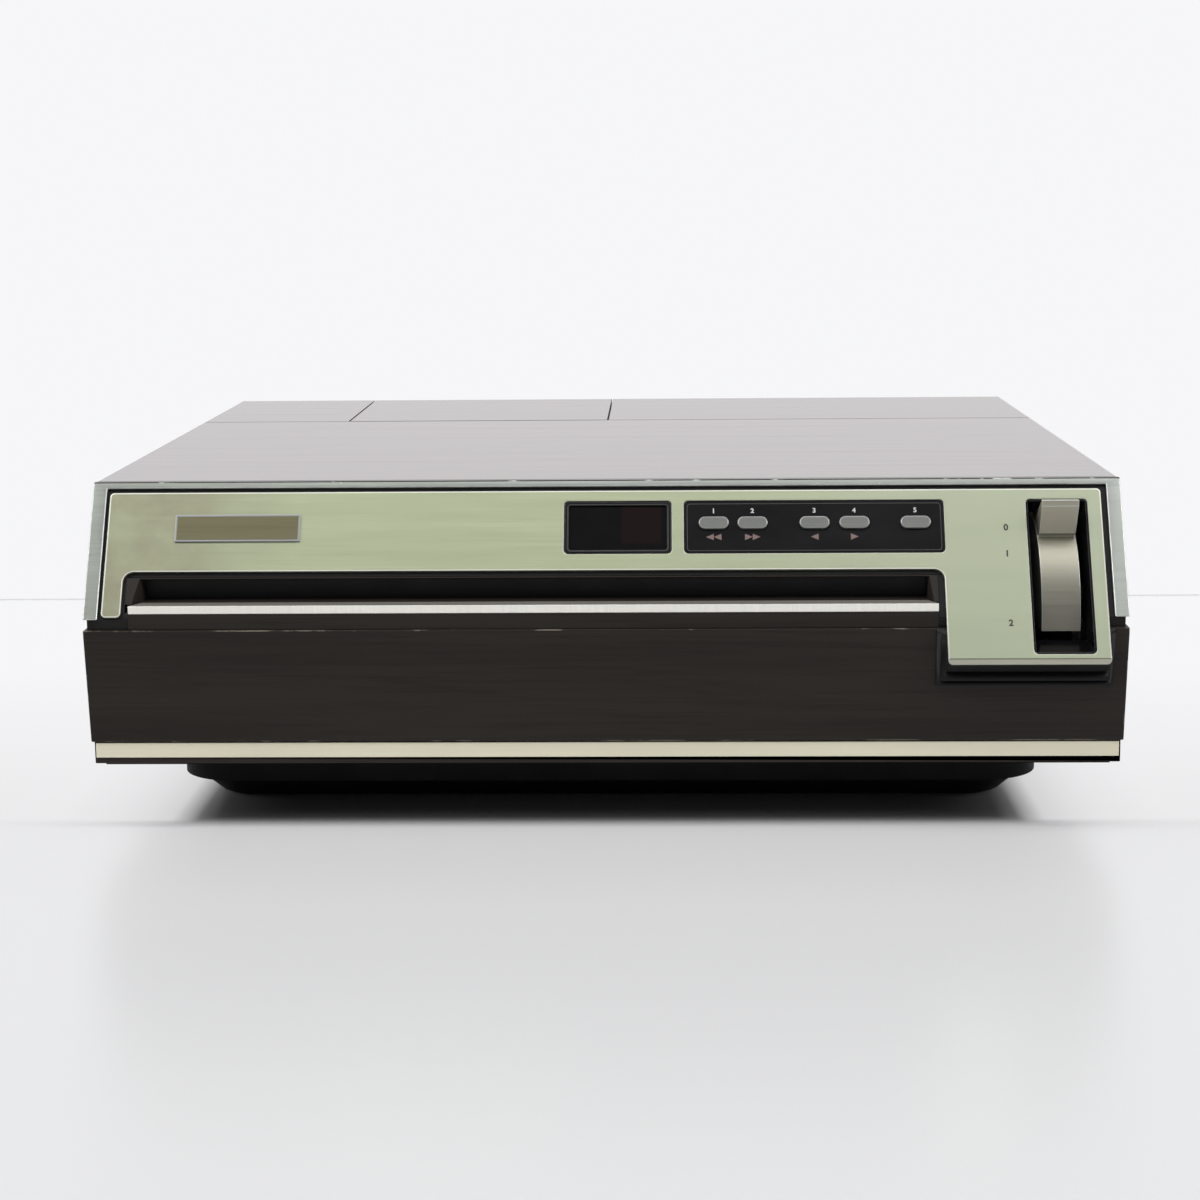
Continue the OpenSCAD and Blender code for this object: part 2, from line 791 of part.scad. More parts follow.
module faceplate() {
    // Chamfer along the control block's lower edge
    chamfer_s = 1.9;
    chamfer_d = 0.55;
    color("#b4bf98")
        difference() {
            on_panel()
                translate([0, 0, -face_t])
                    linear_extrude(face_t)
                        difference() {
                            face_outline();
                            window_outline(display_x0, display_w);
                            window_outline(keys_x0, keys_w);
                            rrect(well_x0, -well_s1, well_x1, -well_s0, window_r);
                        }
            side_extrude(block_x0 - 1, face_x1 + 1)
                polygon([panel_point(block_len - 2 * chamfer_s, chamfer_d),
                    panel_point(block_len + chamfer_s, -2 * chamfer_d),
                    panel_point(block_len + chamfer_s, chamfer_d)]);
        }
}

module badge_plate() {
    color("#6d6952")
        panel_box(badge_x0, badge_x0 + badge_w, badge_s, badge_s + badge_h, 0, badge_t, 0.5);
}

// A window insert: a tube that fills the window, with a flange behind the carrier
module window_insert(x0, w, depth) {
    fit = 0.3;
    flange = 1;
    flange_d = 1.2;
    panel_box(x0 + fit, x0 + w - fit, window_s + fit, window_s + window_h - fit,
        -depth, -insert_sink, window_r);
    panel_box(x0 - flange, x0 + w + flange, window_s - flange, window_s + window_h + flange,
        -carrier_back - flange_d, -carrier_back, window_r);
}

display_wall = 2;
lens_t = 1;
lens_depth = 1.4;
display_depth = 9;

module display_bezel() {
    color("#101010")
        difference() {
            window_insert(display_x0, display_w, display_depth);
            panel_box(display_x0 + display_wall, display_x0 + display_w - display_wall,
                window_s + display_wall, window_s + window_h - display_wall, -far, far, 1);
        }
}

module display_lens() {
    color("#2a1512")
        panel_box(display_x0 + display_wall, display_x0 + display_w - display_wall,
            window_s + display_wall, window_s + window_h - display_wall,
            -lens_depth - lens_t, -lens_depth, 1);
}

module display_module() {
    digit_w = 8;
    digit_h = 12;
    x0 = display_x0 + display_wall;
    x1 = display_x0 + display_w - display_wall;
    s = window_s + (window_h - digit_h) / 2;
    color("#5e1712") {
        panel_box(x0, x1, window_s + display_wall, window_s + window_h - display_wall,
            -display_depth, -display_depth + 1.5, 1);
        for (x = [x1 - 2 - digit_w, x1 - 4 - 2 * digit_w])
            panel_box(x, x + digit_w, s, s + digit_h, -display_depth + 1.5 - eps,
                -lens_depth - lens_t - 1);
    }
}

// A button's outline on the slope, grown by grow all round
module button_outline(x, grow) {
    r = button_h / 2 + grow;
    half = button_l / 2 - button_h / 2;
    translate([x - half, -button_s - r])
        square([2 * half, 2 * r]);
    for (side = [-half, half])
        translate([x + side, -button_s])
            circle(r);
}

button_depth = 9;
board_depth = 13;
// The bosses that carry the button board: X, and distance down the slope
board_bosses = [[keys_x0 + 5, 5], [keys_x0 + keys_w - 5, 5], [keys_x0 + keys_w + 6, 28]];

module button_bezel() {
    back = insert_sink + insert_t;
    color("#101010")
        difference() {
            window_insert(keys_x0, keys_w, carrier_back + 1);
            panel_box(keys_x0 + display_wall, keys_x0 + keys_w - display_wall,
                window_s + display_wall, window_s + window_h - display_wall, -far, -back, 1);
            on_panel()
                translate([0, 0, -back - 1])
                    linear_extrude(back + 2)
                        for (x = button_x)
                            button_outline(x, free_gap);
        }
}

// One push-button: its cap, and the stop under the bezel
module push_button(i) {
    back = insert_sink + insert_t;
    rim = 1.2;
    color("#8d8c88")
        on_panel() {
            translate([0, 0, -button_depth])
                linear_extrude(button_depth + button_proud)
                    button_outline(button_x[i], 0);
            translate([0, 0, -back - free_gap - 1.2])
                linear_extrude(1.2)
                    button_outline(button_x[i], rim);
        }
}

module rapid_reverse_button() {
    push_button(0);
}

module rapid_forward_button() {
    push_button(1);
}

module search_reverse_button() {
    push_button(2);
}

module search_forward_button() {
    push_button(3);
}

module pause_button() {
    push_button(4);
}

module button_board() {
    board_t = 1.6;
    switch_w = 7;
    color("#3f6b45") {
        panel_box(keys_x0 + 0.5, keys_x0 + keys_w + 9, 2.5, 33, -board_depth - board_t, -board_depth);
        for (x = button_x)
            panel_box(x - switch_w / 2, x + switch_w / 2, button_s - 3, button_s + 3,
                -board_depth - eps, -button_depth - button_travel - 0.3);
    }
}

// ---------- function lever ----------

bezel_depth = 10;

module lever_bezel() {
    fit = 0.1;
    flange = 2.4;
    flange_d = 1.2;
    edge = 0.9;
    wall = 2.4;
    ramp = 9;
    color("#0d0d0d")
        difference() {
            union() {
                panel_box(well_x0 + fit, well_x1 - fit, well_s0 + fit, well_s1 - fit,
                    -bezel_depth, -insert_sink, window_r);
                panel_box(well_x0 - flange, well_x1 + flange, well_s0 - flange, well_s1 + 0.5,
                    -carrier_back - flange_d, -carrier_back);
            }
            hull() {
                panel_box(well_x0 + edge, well_x1 - edge, well_s0 + edge, well_s1 - edge,
                    -insert_sink, eps);
                panel_box(well_x0 + wall, well_x1 - wall, well_s0 + wall - 0.5, well_s1 - ramp,
                    -bezel_depth + 1 - eps, -bezel_depth + 1);
            }
            panel_box(well_x0 + wall, well_x1 - wall, well_s0 + wall - 0.5, well_s1 - ramp,
                -far, -bezel_depth + 1 + eps);
            x_rod(drum_x0 - 0.5, drum_x1 + 0.5, lever_y, lever_z, drum_r + 0.6);
        }
}

drum_from = -97;
drum_to = 31;

// A point of the lever's side view; 0 degrees points straight out of the panel and positive
// angles go down the slope
function rim_point(r, a) = [lever_y - r * (cos(lean) * cos(a) + sin(lean) * sin(a)),
    lever_z + r * (sin(lean) * cos(a) - cos(lean) * sin(a))];

module drum_sector(r) {
    steps = 12;
    reach = r * 1.2;
    polygon(concat([rim_point(0, 0)],
        [for (i = [0 : steps]) rim_point(reach, drum_from + i * (drum_to - drum_from) / steps)]));
}

module function_lever() {
    hub_r2 = 9;
    tab_w = drum_w - 0.8;
    // Side view of the tab, as [distance down the slope, distance out]
    tab_side = [[24.2, -1.8], [16.6, tab_proud - 0.7], [14.2, tab_proud], [13.4, tab_proud - 1],
        [14.6, -11.5], [24.2, -6]];
    color("#b3aca0")
        difference() {
            union() {
                intersection() {
                    difference() {
                        x_rod(drum_x0, drum_x1, lever_y, lever_z, drum_r);
                        x_rod(drum_x0 + drum_t, drum_x1 - drum_t, lever_y, lever_z, drum_r - drum_t);
                    }
                    side_extrude(drum_x0 - 1, drum_x1 + 1)
                        drum_sector(drum_r);
                }
                x_rod(drum_x0, drum_x1, lever_y, lever_z, hub_r2);
                side_extrude(drum_x0 + 0.4, drum_x0 + 0.4 + tab_w)
                    polygon([for (p = tab_side) panel_point(p.x, p.y)]);
            }
            x_rod(drum_x0 - 1, drum_x1 + 1, lever_y, lever_z, shaft_r);
        }
}

crank_turn = lever_turn / 2;
crank_r = pad_lift / (2 * sin(crank_turn));
crank_pin_r = 1.5;
crank_x = lifter_x1 + 5.3;
crank_t = 3;
bracket_t = 2.5;
bracket_half = 10;
bracket_x = [well_x0 - 4, well_x1 + 1.3];

module lever_shaft() {
    color("#a9a9a6") {
        x_rod(crank_x, bracket_x[1] + bracket_t + 1.5, lever_y, lever_z, shaft_r);
        x_rod(crank_x, crank_x + crank_t, lever_y, lever_z, 2 * shaft_r);
        x_rod(lifter_x1 + 0.3, crank_x + eps, lever_y + crank_r * cos(crank_turn),
            lever_z - crank_r * sin(crank_turn), crank_pin_r);
    }
}

module lever_brackets() {
    foot_w = 10;
    top = lever_z + 10;
    color("#9fa3a6")
        for (i = [0, 1]) {
            x = bracket_x[i];
            foot_x0 = i == 0 ? x - foot_w : x;
            foot_x1 = i == 0 ? x + bracket_t : x + bracket_t + 2.5;
            difference() {
                union() {
                    span([x, lever_y - bracket_half, chassis_z],
                        [x + bracket_t, lever_y + bracket_half, top]);
                    span([foot_x0, lever_y - bracket_half, chassis_z],
                        [foot_x1, lever_y + bracket_half, chassis_z + bracket_t]);
                }
                x_rod(x - 1, x + bracket_t + 1, lever_y, lever_z, shaft_r + run_fit);
            }
        }
}

// ---------- disc slot ----------

module slot_throat() {
    back_y = prow_y + throat_d;
    ear_d = 6;
    ear_top = flap_z + 1.9;
    bevel = 11;
    mouth_y = prow_y - 6;
    mouth_rise = 6;
    front_drop = 0.8;
    edge = 0.6;
    sill_z = slot_z0 - bar_h;
    // The ears that carry the caddy door's pins
    ears = [[throat_x0, slot_x0 - 2.4], [slot_x1 + 0.8, throat_x1]];
    color("#2c2420")
        difference() {
            union() {
                intersection() {
                    span([throat_x0, prow_y - 5, z_upper], [throat_x1, back_y, throat_top]);
                    behind_panel(front_drop);
                }
                for (x = ears) {
                    span([x[0], back_y - 0.4, z_upper], [x[1], back_y + ear_d, slot_top]);
                    span([x[0], back_y + 1, slot_top - eps], [x[1], back_y + ear_d, ear_top]);
                }
            }
            intersection() {
                side_extrude(-far, far)
                    polygon([[mouth_y, slot_z0], [mouth_y, slot_top + mouth_rise],
                        [mouth_y + bevel, slot_top + mouth_rise / 2], [prow_y + bevel + 1, slot_top],
                        [back_y + 1, slot_top], [back_y + 1, slot_z0]]);
                linear_extrude(far)
                    polygon([[throat_x0 + edge, mouth_y], [throat_x0 + edge, prow_y],
                        [slot_x0, prow_y + bevel], [slot_x0, back_y + 1], [slot_x1, back_y + 1],
                        [slot_x1, prow_y + bevel], [throat_x1 - edge, prow_y], [throat_x1 - edge, mouth_y]]);
            }
            span([-far, mouth_y, sill_z], [far, prow_y + bar_y + bar_d, slot_z0 + eps]);
            span([-far, mouth_y, z_upper - 1], [far, prow_y + band_inset, slot_z0]);
            x_rod(throat_x0 - 1, throat_x1 + 1, flap_y, flap_z, door_pin_r);
        }
}

bar_x0 = throat_x0 + 1.9;
bar_x1 = throat_x1 - 0.3;

module trim_bar() {
    y = prow_y + bar_y;
    color("#d8d0c4")
        translate([0, 0, slot_z0 - bar_h])
            linear_extrude(bar_h)
                polygon([[bar_x0, y], [bar_x1, y], [slot_x1, y + bar_d], [slot_x0, y + bar_d]]);
}

module slot_lip() {
    color("#2f2722")
        span([bar_x0, prow_y + bar_y, z_band], [bar_x1, prow_y + band_inset, slot_z0 - bar_h]);
}

knuckle_w = 7;
door_x0 = slot_x0 - 2;
door_x1 = slot_x1 + 0.4;

module caddy_door() {
    y = prow_y + throat_d + free_gap;
    knuckle_r = 2.3;
    color("#0c0c0c")
        difference() {
            union() {
                span([door_x0, y, slot_z0 - 0.6], [door_x1, y + door_t, flap_z + 1]);
                for (x = [door_x0, door_x1 - knuckle_w]) {
                    x_rod(x, x + knuckle_w, flap_y, flap_z, knuckle_r);
                    span([x, y, flap_z - 1.5], [x + knuckle_w, flap_y, flap_z + 1.5]);
                }
            }
            x_rod(door_x0 - 1, door_x1 + 1, flap_y, flap_z, door_pin_r + run_fit);
        }
}

module caddy_door_pins() {
    color("#b9b7b0") {
        x_rod(throat_x0, door_x0 + knuckle_w, flap_y, flap_z, door_pin_r);
        x_rod(door_x1 - knuckle_w, throat_x1, flap_y, flap_z, door_pin_r);
    }
}

module corner_shroud() {
    wall = 2.5;
    x0 = block_x0;
    x1 = face_x1 - 0.5;
    root_z = nose_z + 2;
    flange_x0 = block_x0 - 3.9;
    flange_x1 = face_x1 + 2.5;
    flange_z = nose_z - 2.5;
    step_t = 1.5;
    step_in = 1.8;
    tip = panel_point(block_len, -face_t);
    top_y = panel_y((z_top - z_band) / cos(lean) - face_t * tan(lean), -face_t);
    inner_z = root_z - 2;
    color("#141414")
        difference() {
            union() {
                side_extrude(x0, x1)
                    polygon([tip, [top_y, z_band], [low_face_y(z_band), z_band],
                        [low_face_y(root_z), root_z]]);
                side_extrude(flange_x0, flange_x1)
                    polygon([[low_face_y(z_band) - step_t, z_band], [low_face_y(z_band), z_band],
                        [low_face_y(flange_z), flange_z], [low_face_y(flange_z) - step_t, flange_z]]);
                side_extrude(flange_x0 + step_in, flange_x1 - step_in)
                    polygon([[low_face_y(z_band) - 2 * step_t, z_band], [low_face_y(z_band), z_band],
                        [low_face_y(inner_z), inner_z], [low_face_y(inner_z) - 2 * step_t, inner_z]]);
            }
            side_extrude(x0 + wall, x1 - wall)
                polygon([tip + [-20, wall + 9], tip + [-3, wall + 2], tip + [0, wall + 0.4],
                    [low_face_y(root_z) + 1, root_z + wall], [prow_y + 20, root_z + wall],
                    [prow_y + 20, z_band + 5], [front_y - 20, z_band + 5]]);
            panel_box(-far, far, -far, far, -face_t, far);
        }
}

// ---------- rear ----------

pocket_x0 = jack_x - 20;
pocket_x1 = jack_x + jack_pitch + 35;
pocket_z0 = jack_z - 13.5;
pocket_z1 = jack_z + 13.5;
pocket_t = 1.5;
jack_shoulder = 0.8;
switch_x = jack_x + jack_pitch + 18;
switch_knob = 4;

module rear_panel() {
    vent_w = 3;
    vent_pitch = 8;
    y1 = rear_panel_y + rear_t;
    side = side_x - lower_t - 0.2;
    bottom = z_low;
    notch_z = hinge_z - 10.5;
    knob_hole = switch_knob / 2 + free_gap;
    color("#26221f")
        difference() {
            union() {
                span([-side, rear_panel_y, bottom], [side, y1, z_top - cover_t - 0.2]);
                span([pocket_x0 - pocket_t, pocket_y - pocket_t, pocket_z0 - pocket_t],
                    [pocket_x1 + pocket_t, rear_panel_y + eps, pocket_z1 + pocket_t]);
            }
            span([pocket_x0, pocket_y, pocket_z0], [pocket_x1, y1 + 1, pocket_z1]);
            span([access_x0 - 4.6, rear_panel_y - 1, notch_z], [access_x1 + 4.6, y1 + 1, z_top]);
            for (x = [jack_x, jack_x + jack_pitch])
                y_rod(x, pocket_y - 3, pocket_y + 1, jack_z, jack_r + jack_shoulder + 0.3);
            span([switch_x - knob_hole, pocket_y - 3, jack_z - knob_hole],
                [switch_x + knob_hole + switch_travel, pocket_y + 1, jack_z + knob_hole]);
            y_rod(gland_x, rear_panel_y - 1, y1 + 1, gland_z, gland_r + 2.5);
            for (x = rear_screw_x)
                y_rod(x, rear_panel_y - 1, y1 + 1, (z_band + z_upper) / 2, rear_screw_r + 0.1);
            for (i = [0 : 11], z = [z_upper + 10, z_low + 8])
                span([-i * vent_pitch + 60, rear_panel_y - 1, z],
                    [-i * vent_pitch + 60 + vent_w, y1 + 1, z + 26]);
        }
}

module cabinet_screws() {
    head_r = 3.2;
    head_t = 1.8;
    y1 = rear_panel_y + rear_t;
    color("#8f8f8c") {
        for (x = rear_screw_x) {
            y_rod(x, y1, y1 + head_t, (z_band + z_upper) / 2, head_r);
            y_rod(x, rear_panel_y - seat_gap - 6, y1 + eps, (z_band + z_upper) / 2, rear_screw_r);
        }
        for (x = post_x, y = post_y)
            translate([x, y, 0]) {
                translate([0, 0, floor_z - base_head_h])
                    cylinder(h = base_head_h, r = base_head_r);
                translate([0, 0, floor_z - eps])
                    cylinder(h = chassis_z - floor_z, r = base_screw_r);
            }
    }
}

module cord_gland() {
    y1 = rear_panel_y + rear_t;
    color("#101010")
        difference() {
            union() {
                y_rod(gland_x, rear_panel_y - 6, y1 + 2, gland_z, gland_r + 2.5);
                y_rod(gland_x, y1, y1 + 2, gland_z, gland_r + 5);
                y_rod(gland_x, rear_panel_y - 3, rear_panel_y, gland_z, gland_r + 4);
            }
            y_rod(gland_x, rear_panel_y - 7, y1 + 3, gland_z, gland_r);
        }
}

modulator_w = 74;
modulator_d = 34;
jack_y = pocket_y + 1;

module rf_modulator() {
    x0 = pocket_x0 + 4;
    y1 = pocket_y - pocket_t;
    pin_r = 0.6;
    color("#b7b6ae")
        difference() {
            union() {
                span([x0, y1 - modulator_d, chassis_z], [x0 + modulator_w, y1, jack_z + 13]);
                for (x = [jack_x, jack_x + jack_pitch]) {
                    y_rod(x, y1 - 1, jack_y, jack_z, jack_r + jack_shoulder);
                    y_rod(x, jack_y - 1, jack_y + jack_l, jack_z, jack_r);
                }
            }
            for (x = [jack_x, jack_x + jack_pitch])
                difference() {
                    y_rod(x, pocket_y + 2, jack_y + jack_l + 1, jack_z, jack_r - 1);
                    y_rod(x, pocket_y + 1, jack_y + jack_l - 1, jack_z, pin_r + 1.6);
                }
            span([switch_x - switch_knob, y1 - 4, jack_z - switch_knob],
                [switch_x + switch_knob + switch_travel, y1 + 1, jack_z + switch_knob]);
        }
}

module channel_switch() {
    y1 = pocket_y - pocket_t;
    half = switch_knob / 2;
    color("#0e0e0e") {
        span([switch_x - half, y1 - 3.6, jack_z - half], [switch_x + half, pocket_y + 3, jack_z + half]);
        span([switch_x - half - 1.2, y1 - 3.6, jack_z - half - 1.2],
            [switch_x + half + 1.2, y1 - 0.6, jack_z + half + 1.2]);
    }
}

// ---------- chassis and disc drive ----------

chassis_inset = 8;
chassis_front = 12;
chassis_rear = 3;

// The posts under the chassis plate, and the guide posts of the lifter frame on it
module chassis_posts() {
    z0 = chassis_z - chassis_t;
    color("#b4b3ad") {
        for (x = post_x, y = post_y)
            translate([x, y, base_boss_z])
                difference() {
                    cylinder(h = z0 - base_boss_z, r = post_r);
                    translate([0, 0, -1])
                        cylinder(h = far, r = base_screw_r);
                }
        for (x = guide_x, y = guide_y)
            translate([x, y, chassis_z])
                cylinder(h = table_z - chassis_z, r = guide_r);
    }
}

module chassis_plate() {
    z0 = chassis_z - chassis_t;
    drum_gap = 5;
    motor_hole_r = 9;
    color("#a5a9a6")
        difference() {
            span([-side_x + chassis_inset, prow_y + chassis_front, z0],
                [side_x - chassis_inset, pocket_y - chassis_rear, chassis_z]);
            span([drum_x0 - drum_gap, prow_y, z0 - 1],
                [drum_x1 + drum_gap, lever_y + drum_r + drum_gap, chassis_z + 1]);
            for (x = post_x, y = post_y)
                translate([x, y, z0 - 1])
                    cylinder(h = chassis_t + 2, r = base_screw_r);
            translate([motor_x, motor_y, z0 - 1])
                cylinder(h = chassis_t + 2, r = motor_hole_r);
        }
}

bearing_r = 11;
bearing_top = chassis_z + 18;
axle_bottom = chassis_z + 2;

module turntable_bearing() {
    color("#8e8f8c")
        translate([spindle_x, spindle_y, 0])
            difference() {
                union() {
                    translate([0, 0, chassis_z])
                        cylinder(h = 4, r = 26);
                    translate([0, 0, chassis_z])
                        cylinder(h = bearing_top - chassis_z, r = bearing_r);
                }
                translate([0, 0, axle_bottom - 0.3])
                    cylinder(h = far, r = axle_r + run_fit);
            }
}

module turntable() {
    plate_z = table_z - table_t;
    ring_w = 3;
    ring_z = belt_z - 2;
    rim_w = 3;
    rim_h = 4;
    boss_r = 14;
    boss_z = bearing_top + 1.5;
    chamfer = 1;
    color("#b9b6ae")
        translate([spindle_x, spindle_y, 0])
            rotate_extrude($fn = 128)
                polygon([[0, axle_bottom], [axle_r, axle_bottom], [axle_r, boss_z], [boss_r, boss_z],
                    [boss_r, plate_z], [ring_r - ring_w, plate_z], [ring_r - ring_w, ring_z],
                    [ring_r, ring_z], [ring_r, plate_z], [table_r - rim_w, plate_z],
                    [table_r - rim_w, plate_z - rim_h], [table_r, plate_z - rim_h], [table_r, table_z],
                    [hub_r, table_z], [hub_r, table_z + hub_h - chamfer],
                    [hub_r - chamfer, table_z + hub_h], [0, table_z + hub_h]]);
}

module turntable_mat() {
    inner_r = 60;
    edge = 7;
    color("#2b2b2a")
        translate([spindle_x, spindle_y, table_z])
            difference() {
                cylinder(h = mat_t, r = table_r - edge, $fn = 128);
                translate([0, 0, -1])
                    cylinder(h = mat_t + 2, r = inner_r, $fn = 128);
            }
}

motor_shaft_r = 3;
motor_h = 36;

module drive_motor() {
    z1 = chassis_z - chassis_t;
    foot_r2 = 5;
    color("#77797a")
        translate([motor_x, motor_y, 0])
            difference() {
                union() {
                    translate([0, 0, z1 - motor_h])
                        cylinder(h = motor_h - 3, r = motor_r);
                    translate([0, 0, z1 - 3])
                        cylinder(h = 3, r = motor_r + foot_r2);
                    translate([0, 0, z1 - 1])
                        cylinder(h = chassis_t + 4, r = 8);
                }
                translate([0, 0, z1 - 20])
                    cylinder(h = far, r = motor_shaft_r + run_fit);
            }
}

module motor_pulley() {
    flange = 1.6;
    color("#c9c5b8")
        translate([motor_x, motor_y, 0]) {
            translate([0, 0, chassis_z - chassis_t - 19])
                cylinder(h = belt_z + belt_h + 3 - (chassis_z - chassis_t - 19), r = motor_shaft_r);
            translate([0, 0, belt_z - 1])
                cylinder(h = belt_h + 2, r = pulley_r);
            for (z = [belt_z - 1 - flange, belt_z + belt_h + 1])
                translate([0, 0, z])
                    cylinder(h = flange, r = pulley_r + 2);
        }
}

// The belt's plan: two circles and the straight runs that touch both, grown by grow
module belt_plan(grow) {
    big = ring_r + grow;
    small = pulley_r + grow;
    tilt = acos((big - small) / motor_reach);
    circle(big);
    translate([motor_reach, 0])
        circle(small);
    polygon([big * [cos(tilt), sin(tilt)], [motor_reach, 0] + small * [cos(tilt), sin(tilt)],
        [motor_reach, 0] + small * [cos(tilt), -sin(tilt)], big * [cos(tilt), -sin(tilt)]]);
}

module drive_belt() {
    color("#191919")
        translate([spindle_x, spindle_y, belt_z])
            rotate([0, 0, motor_angle])
                linear_extrude(belt_h, $fn = 128)
                    difference() {
                        belt_plan(0.3 + belt_t);
                        belt_plan(0.3);
                    }
}

module lifter_frame() {
    tab_t = 2.5;
    tab_half = [7, 6];
    slot_half = [4, crank_pin_r + free_gap];
    z1 = lifter_z + lifter_t;
    pin_y = lever_y + crank_r * cos(crank_turn);
    pin_z = lever_z - crank_r * sin(crank_turn);
    color("#9a9d9a")
        difference() {
            union() {
                difference() {
                    span([lifter_x0, lifter_y0, lifter_z], [lifter_x1, lifter_y1, z1]);
                    span([lifter_x0 + lifter_w, lifter_y0 + lifter_w, lifter_z - 1],
                        [lifter_x1 - lifter_w, lifter_y1 - lifter_w, z1 + 1]);
                }
                span([lifter_x1 - eps, pin_y - tab_half[0], pin_z - tab_half[1]],
                    [lifter_x1 + tab_t, pin_y + tab_half[0], pin_z + tab_half[1]]);
                for (x = guide_x, y = pad_y)
                    span([x - 3, y - 8, z1 - eps], [x + 3, y + 8, pad_z]);
            }
            for (x = guide_x, y = guide_y)
                translate([x, y, lifter_z - 1])
                    cylinder(h = lifter_t + 2, r = guide_r + run_fit);
            span([lifter_x1, pin_y - slot_half[0], pin_z - slot_half[1]],
                [lifter_x1 + tab_t + 1, pin_y + slot_half[0], pin_z + slot_half[1]]);
        }
}

pad_y = [spindle_y - 60, spindle_y + 60];
pad_t = 1.5;
pad_z = table_z - pad_t - 0.3;

module receiver_pads() {
    color("#5a2c22")
        for (x = guide_x, y = pad_y)
            span([x - 4, y - 11, pad_z], [x + 4, y + 11, pad_z + pad_t]);
}

// ---------- caddy way and pickup ----------

// One caddy rail: a channel that opens towards the caddy, with a foot on the mid frame
module caddy_rail(wall_x, side, foot_w) {
    y0 = prow_y + rail_front;
    y1 = rear_panel_y - rail_rear;
    // side is 1 where the rail stands left of the caddy, and -1 where it stands right
    out = wall_x - side * rail_t;
    inner = wall_x + side * rail_ledge;
    foot = out - side * foot_w;
    low = slot_z0 - 0.2;
    color("#1f1f1e") {
        span([min(wall_x, out), y0, z_upper], [max(wall_x, out), y1, deck_z]);
        span([min(out, inner), y0, low - rail_t], [max(out, inner), y1, low]);
        span([min(out, inner), y0, deck_z - rail_t], [max(out, inner), y1, deck_z]);
        span([min(out, foot), y0, z_upper], [max(out, foot), y1, z_upper + 2]);
    }
}

module caddy_rail_left() {
    caddy_rail(slot_x0 - 0.3, 1, 10);
}

module caddy_rail_right() {
    caddy_rail(slot_x1 + 0.3, -1, 10);
}

deck_y0 = spindle_y - 40;
deck_y1 = rear_panel_y - 6.5;

module carriage_deck() {
    x0 = slot_x0 - 0.3 - rail_t;
    x1 = slot_x1 + 0.3 + rail_t;
    z1 = deck_z + deck_t;
    tab_t = 2;
    tab_top = rod_z + 6;
    color("#a8aba6")
        difference() {
            union() {
                span([x0, deck_y0, deck_z], [x1, deck_y1, z1]);
                for (y = [deck_y0, deck_y1 - tab_t])
                    span([rod_x0 - 7, y, deck_z], [rod_x1 + 7, y + tab_t, tab_top]);
            }
            span([rod_x0 + 25, deck_y0 + 20, deck_z - 1], [rod_x1 - 8, deck_y1 - 12, z1 + 1]);
            span([rod_x1 + 50, deck_y0 + 20, deck_z - 1], [x1 - 20, deck_y1 - 20, z1 + 1]);
            for (x = [rod_x0, rod_x1])
                y_rod(x, deck_y0 - 1, deck_y1 + 1, rod_z, rod_r);
        }
}

module carriage_rods() {
    color("#c4c4c0")
        for (x = [rod_x0, rod_x1])
            y_rod(x, deck_y0, deck_y1, rod_z, rod_r);
}

arm_x = rod_x0 + 19;
arm_z = carriage_z0 + 11;
arm_pin_r = 1.5;
arm_y0 = carriage_y0 + carriage_l / 2 - 12;
arm_y1 = arm_y0 + 24;

// The tooth of a rack, pointing to +X, about its pitch line at x = 0
module rack_tooth() {
    tip = 1;
    root = 1.25;
    flank = tan(20);
    half = tooth_pitch / 4 - 0.06;
    polygon([[-root, half + root * flank], [tip, half - tip * flank], [tip, -half + tip * flank],
        [-root, -half - root * flank]]);
}

module pickup_carriage() {
    wall = 2;
    x0 = rod_x0 + 7;
    x1 = rod_x1 - 7;
    y1 = carriage_y0 + carriage_l;
    z1 = carriage_z0 + carriage_h;
    lug_z = rod_z - 6;
    rack_y0 = pinion_y - 2.5 * tooth_pitch;
    rack_teeth = floor((carriage_travel + 5 * tooth_pitch) / tooth_pitch);
    color("#c3c2bb")
        difference() {
            union() {
                difference() {
                    span([x0, carriage_y0, carriage_z0], [x1, y1, z1]);
                    span([x0 + wall, carriage_y0 + wall, carriage_z0 + wall], [x1 - wall, y1 - wall, z1 + 1]);
                    span([arm_x + 5, arm_y0 - 1, carriage_z0 - 1], [x1 - wall - 2, arm_y1 + 1, z1]);
                }
                span([x0 - 13, carriage_y0, lug_z], [x0 + eps, y1, rod_z + 6]);
                span([x1 - eps, carriage_y0, lug_z], [x1 + 13, y1, rod_z + 6]);
                for (y = [arm_y0 - 4, arm_y1 + 1])
                    span([arm_x - 4, y, carriage_z0 + wall - eps], [arm_x + 4, y + 3, arm_z + 4]);
                span([x1 + 13 - eps, rack_y0 - tooth_pitch / 2, rod_z - rack_h / 2],
                    [rack_x - 1.2, rack_y0 + (rack_teeth - 0.5) * tooth_pitch, rod_z + rack_h / 2]);
                translate([0, 0, rod_z - rack_h / 2])
                    linear_extrude(rack_h)
                        for (i = [0 : rack_teeth - 1])
                            translate([rack_x, rack_y0 + i * tooth_pitch])
                                rack_tooth();
            }
            for (x = [rod_x0, rod_x1])
                y_rod(x, carriage_y0 - 1, y1 + 1, rod_z, rod_r + run_fit);
            y_rod(arm_x, arm_y0 - 5, arm_y1 + 5, arm_z, arm_pin_r + run_fit);
        }
}

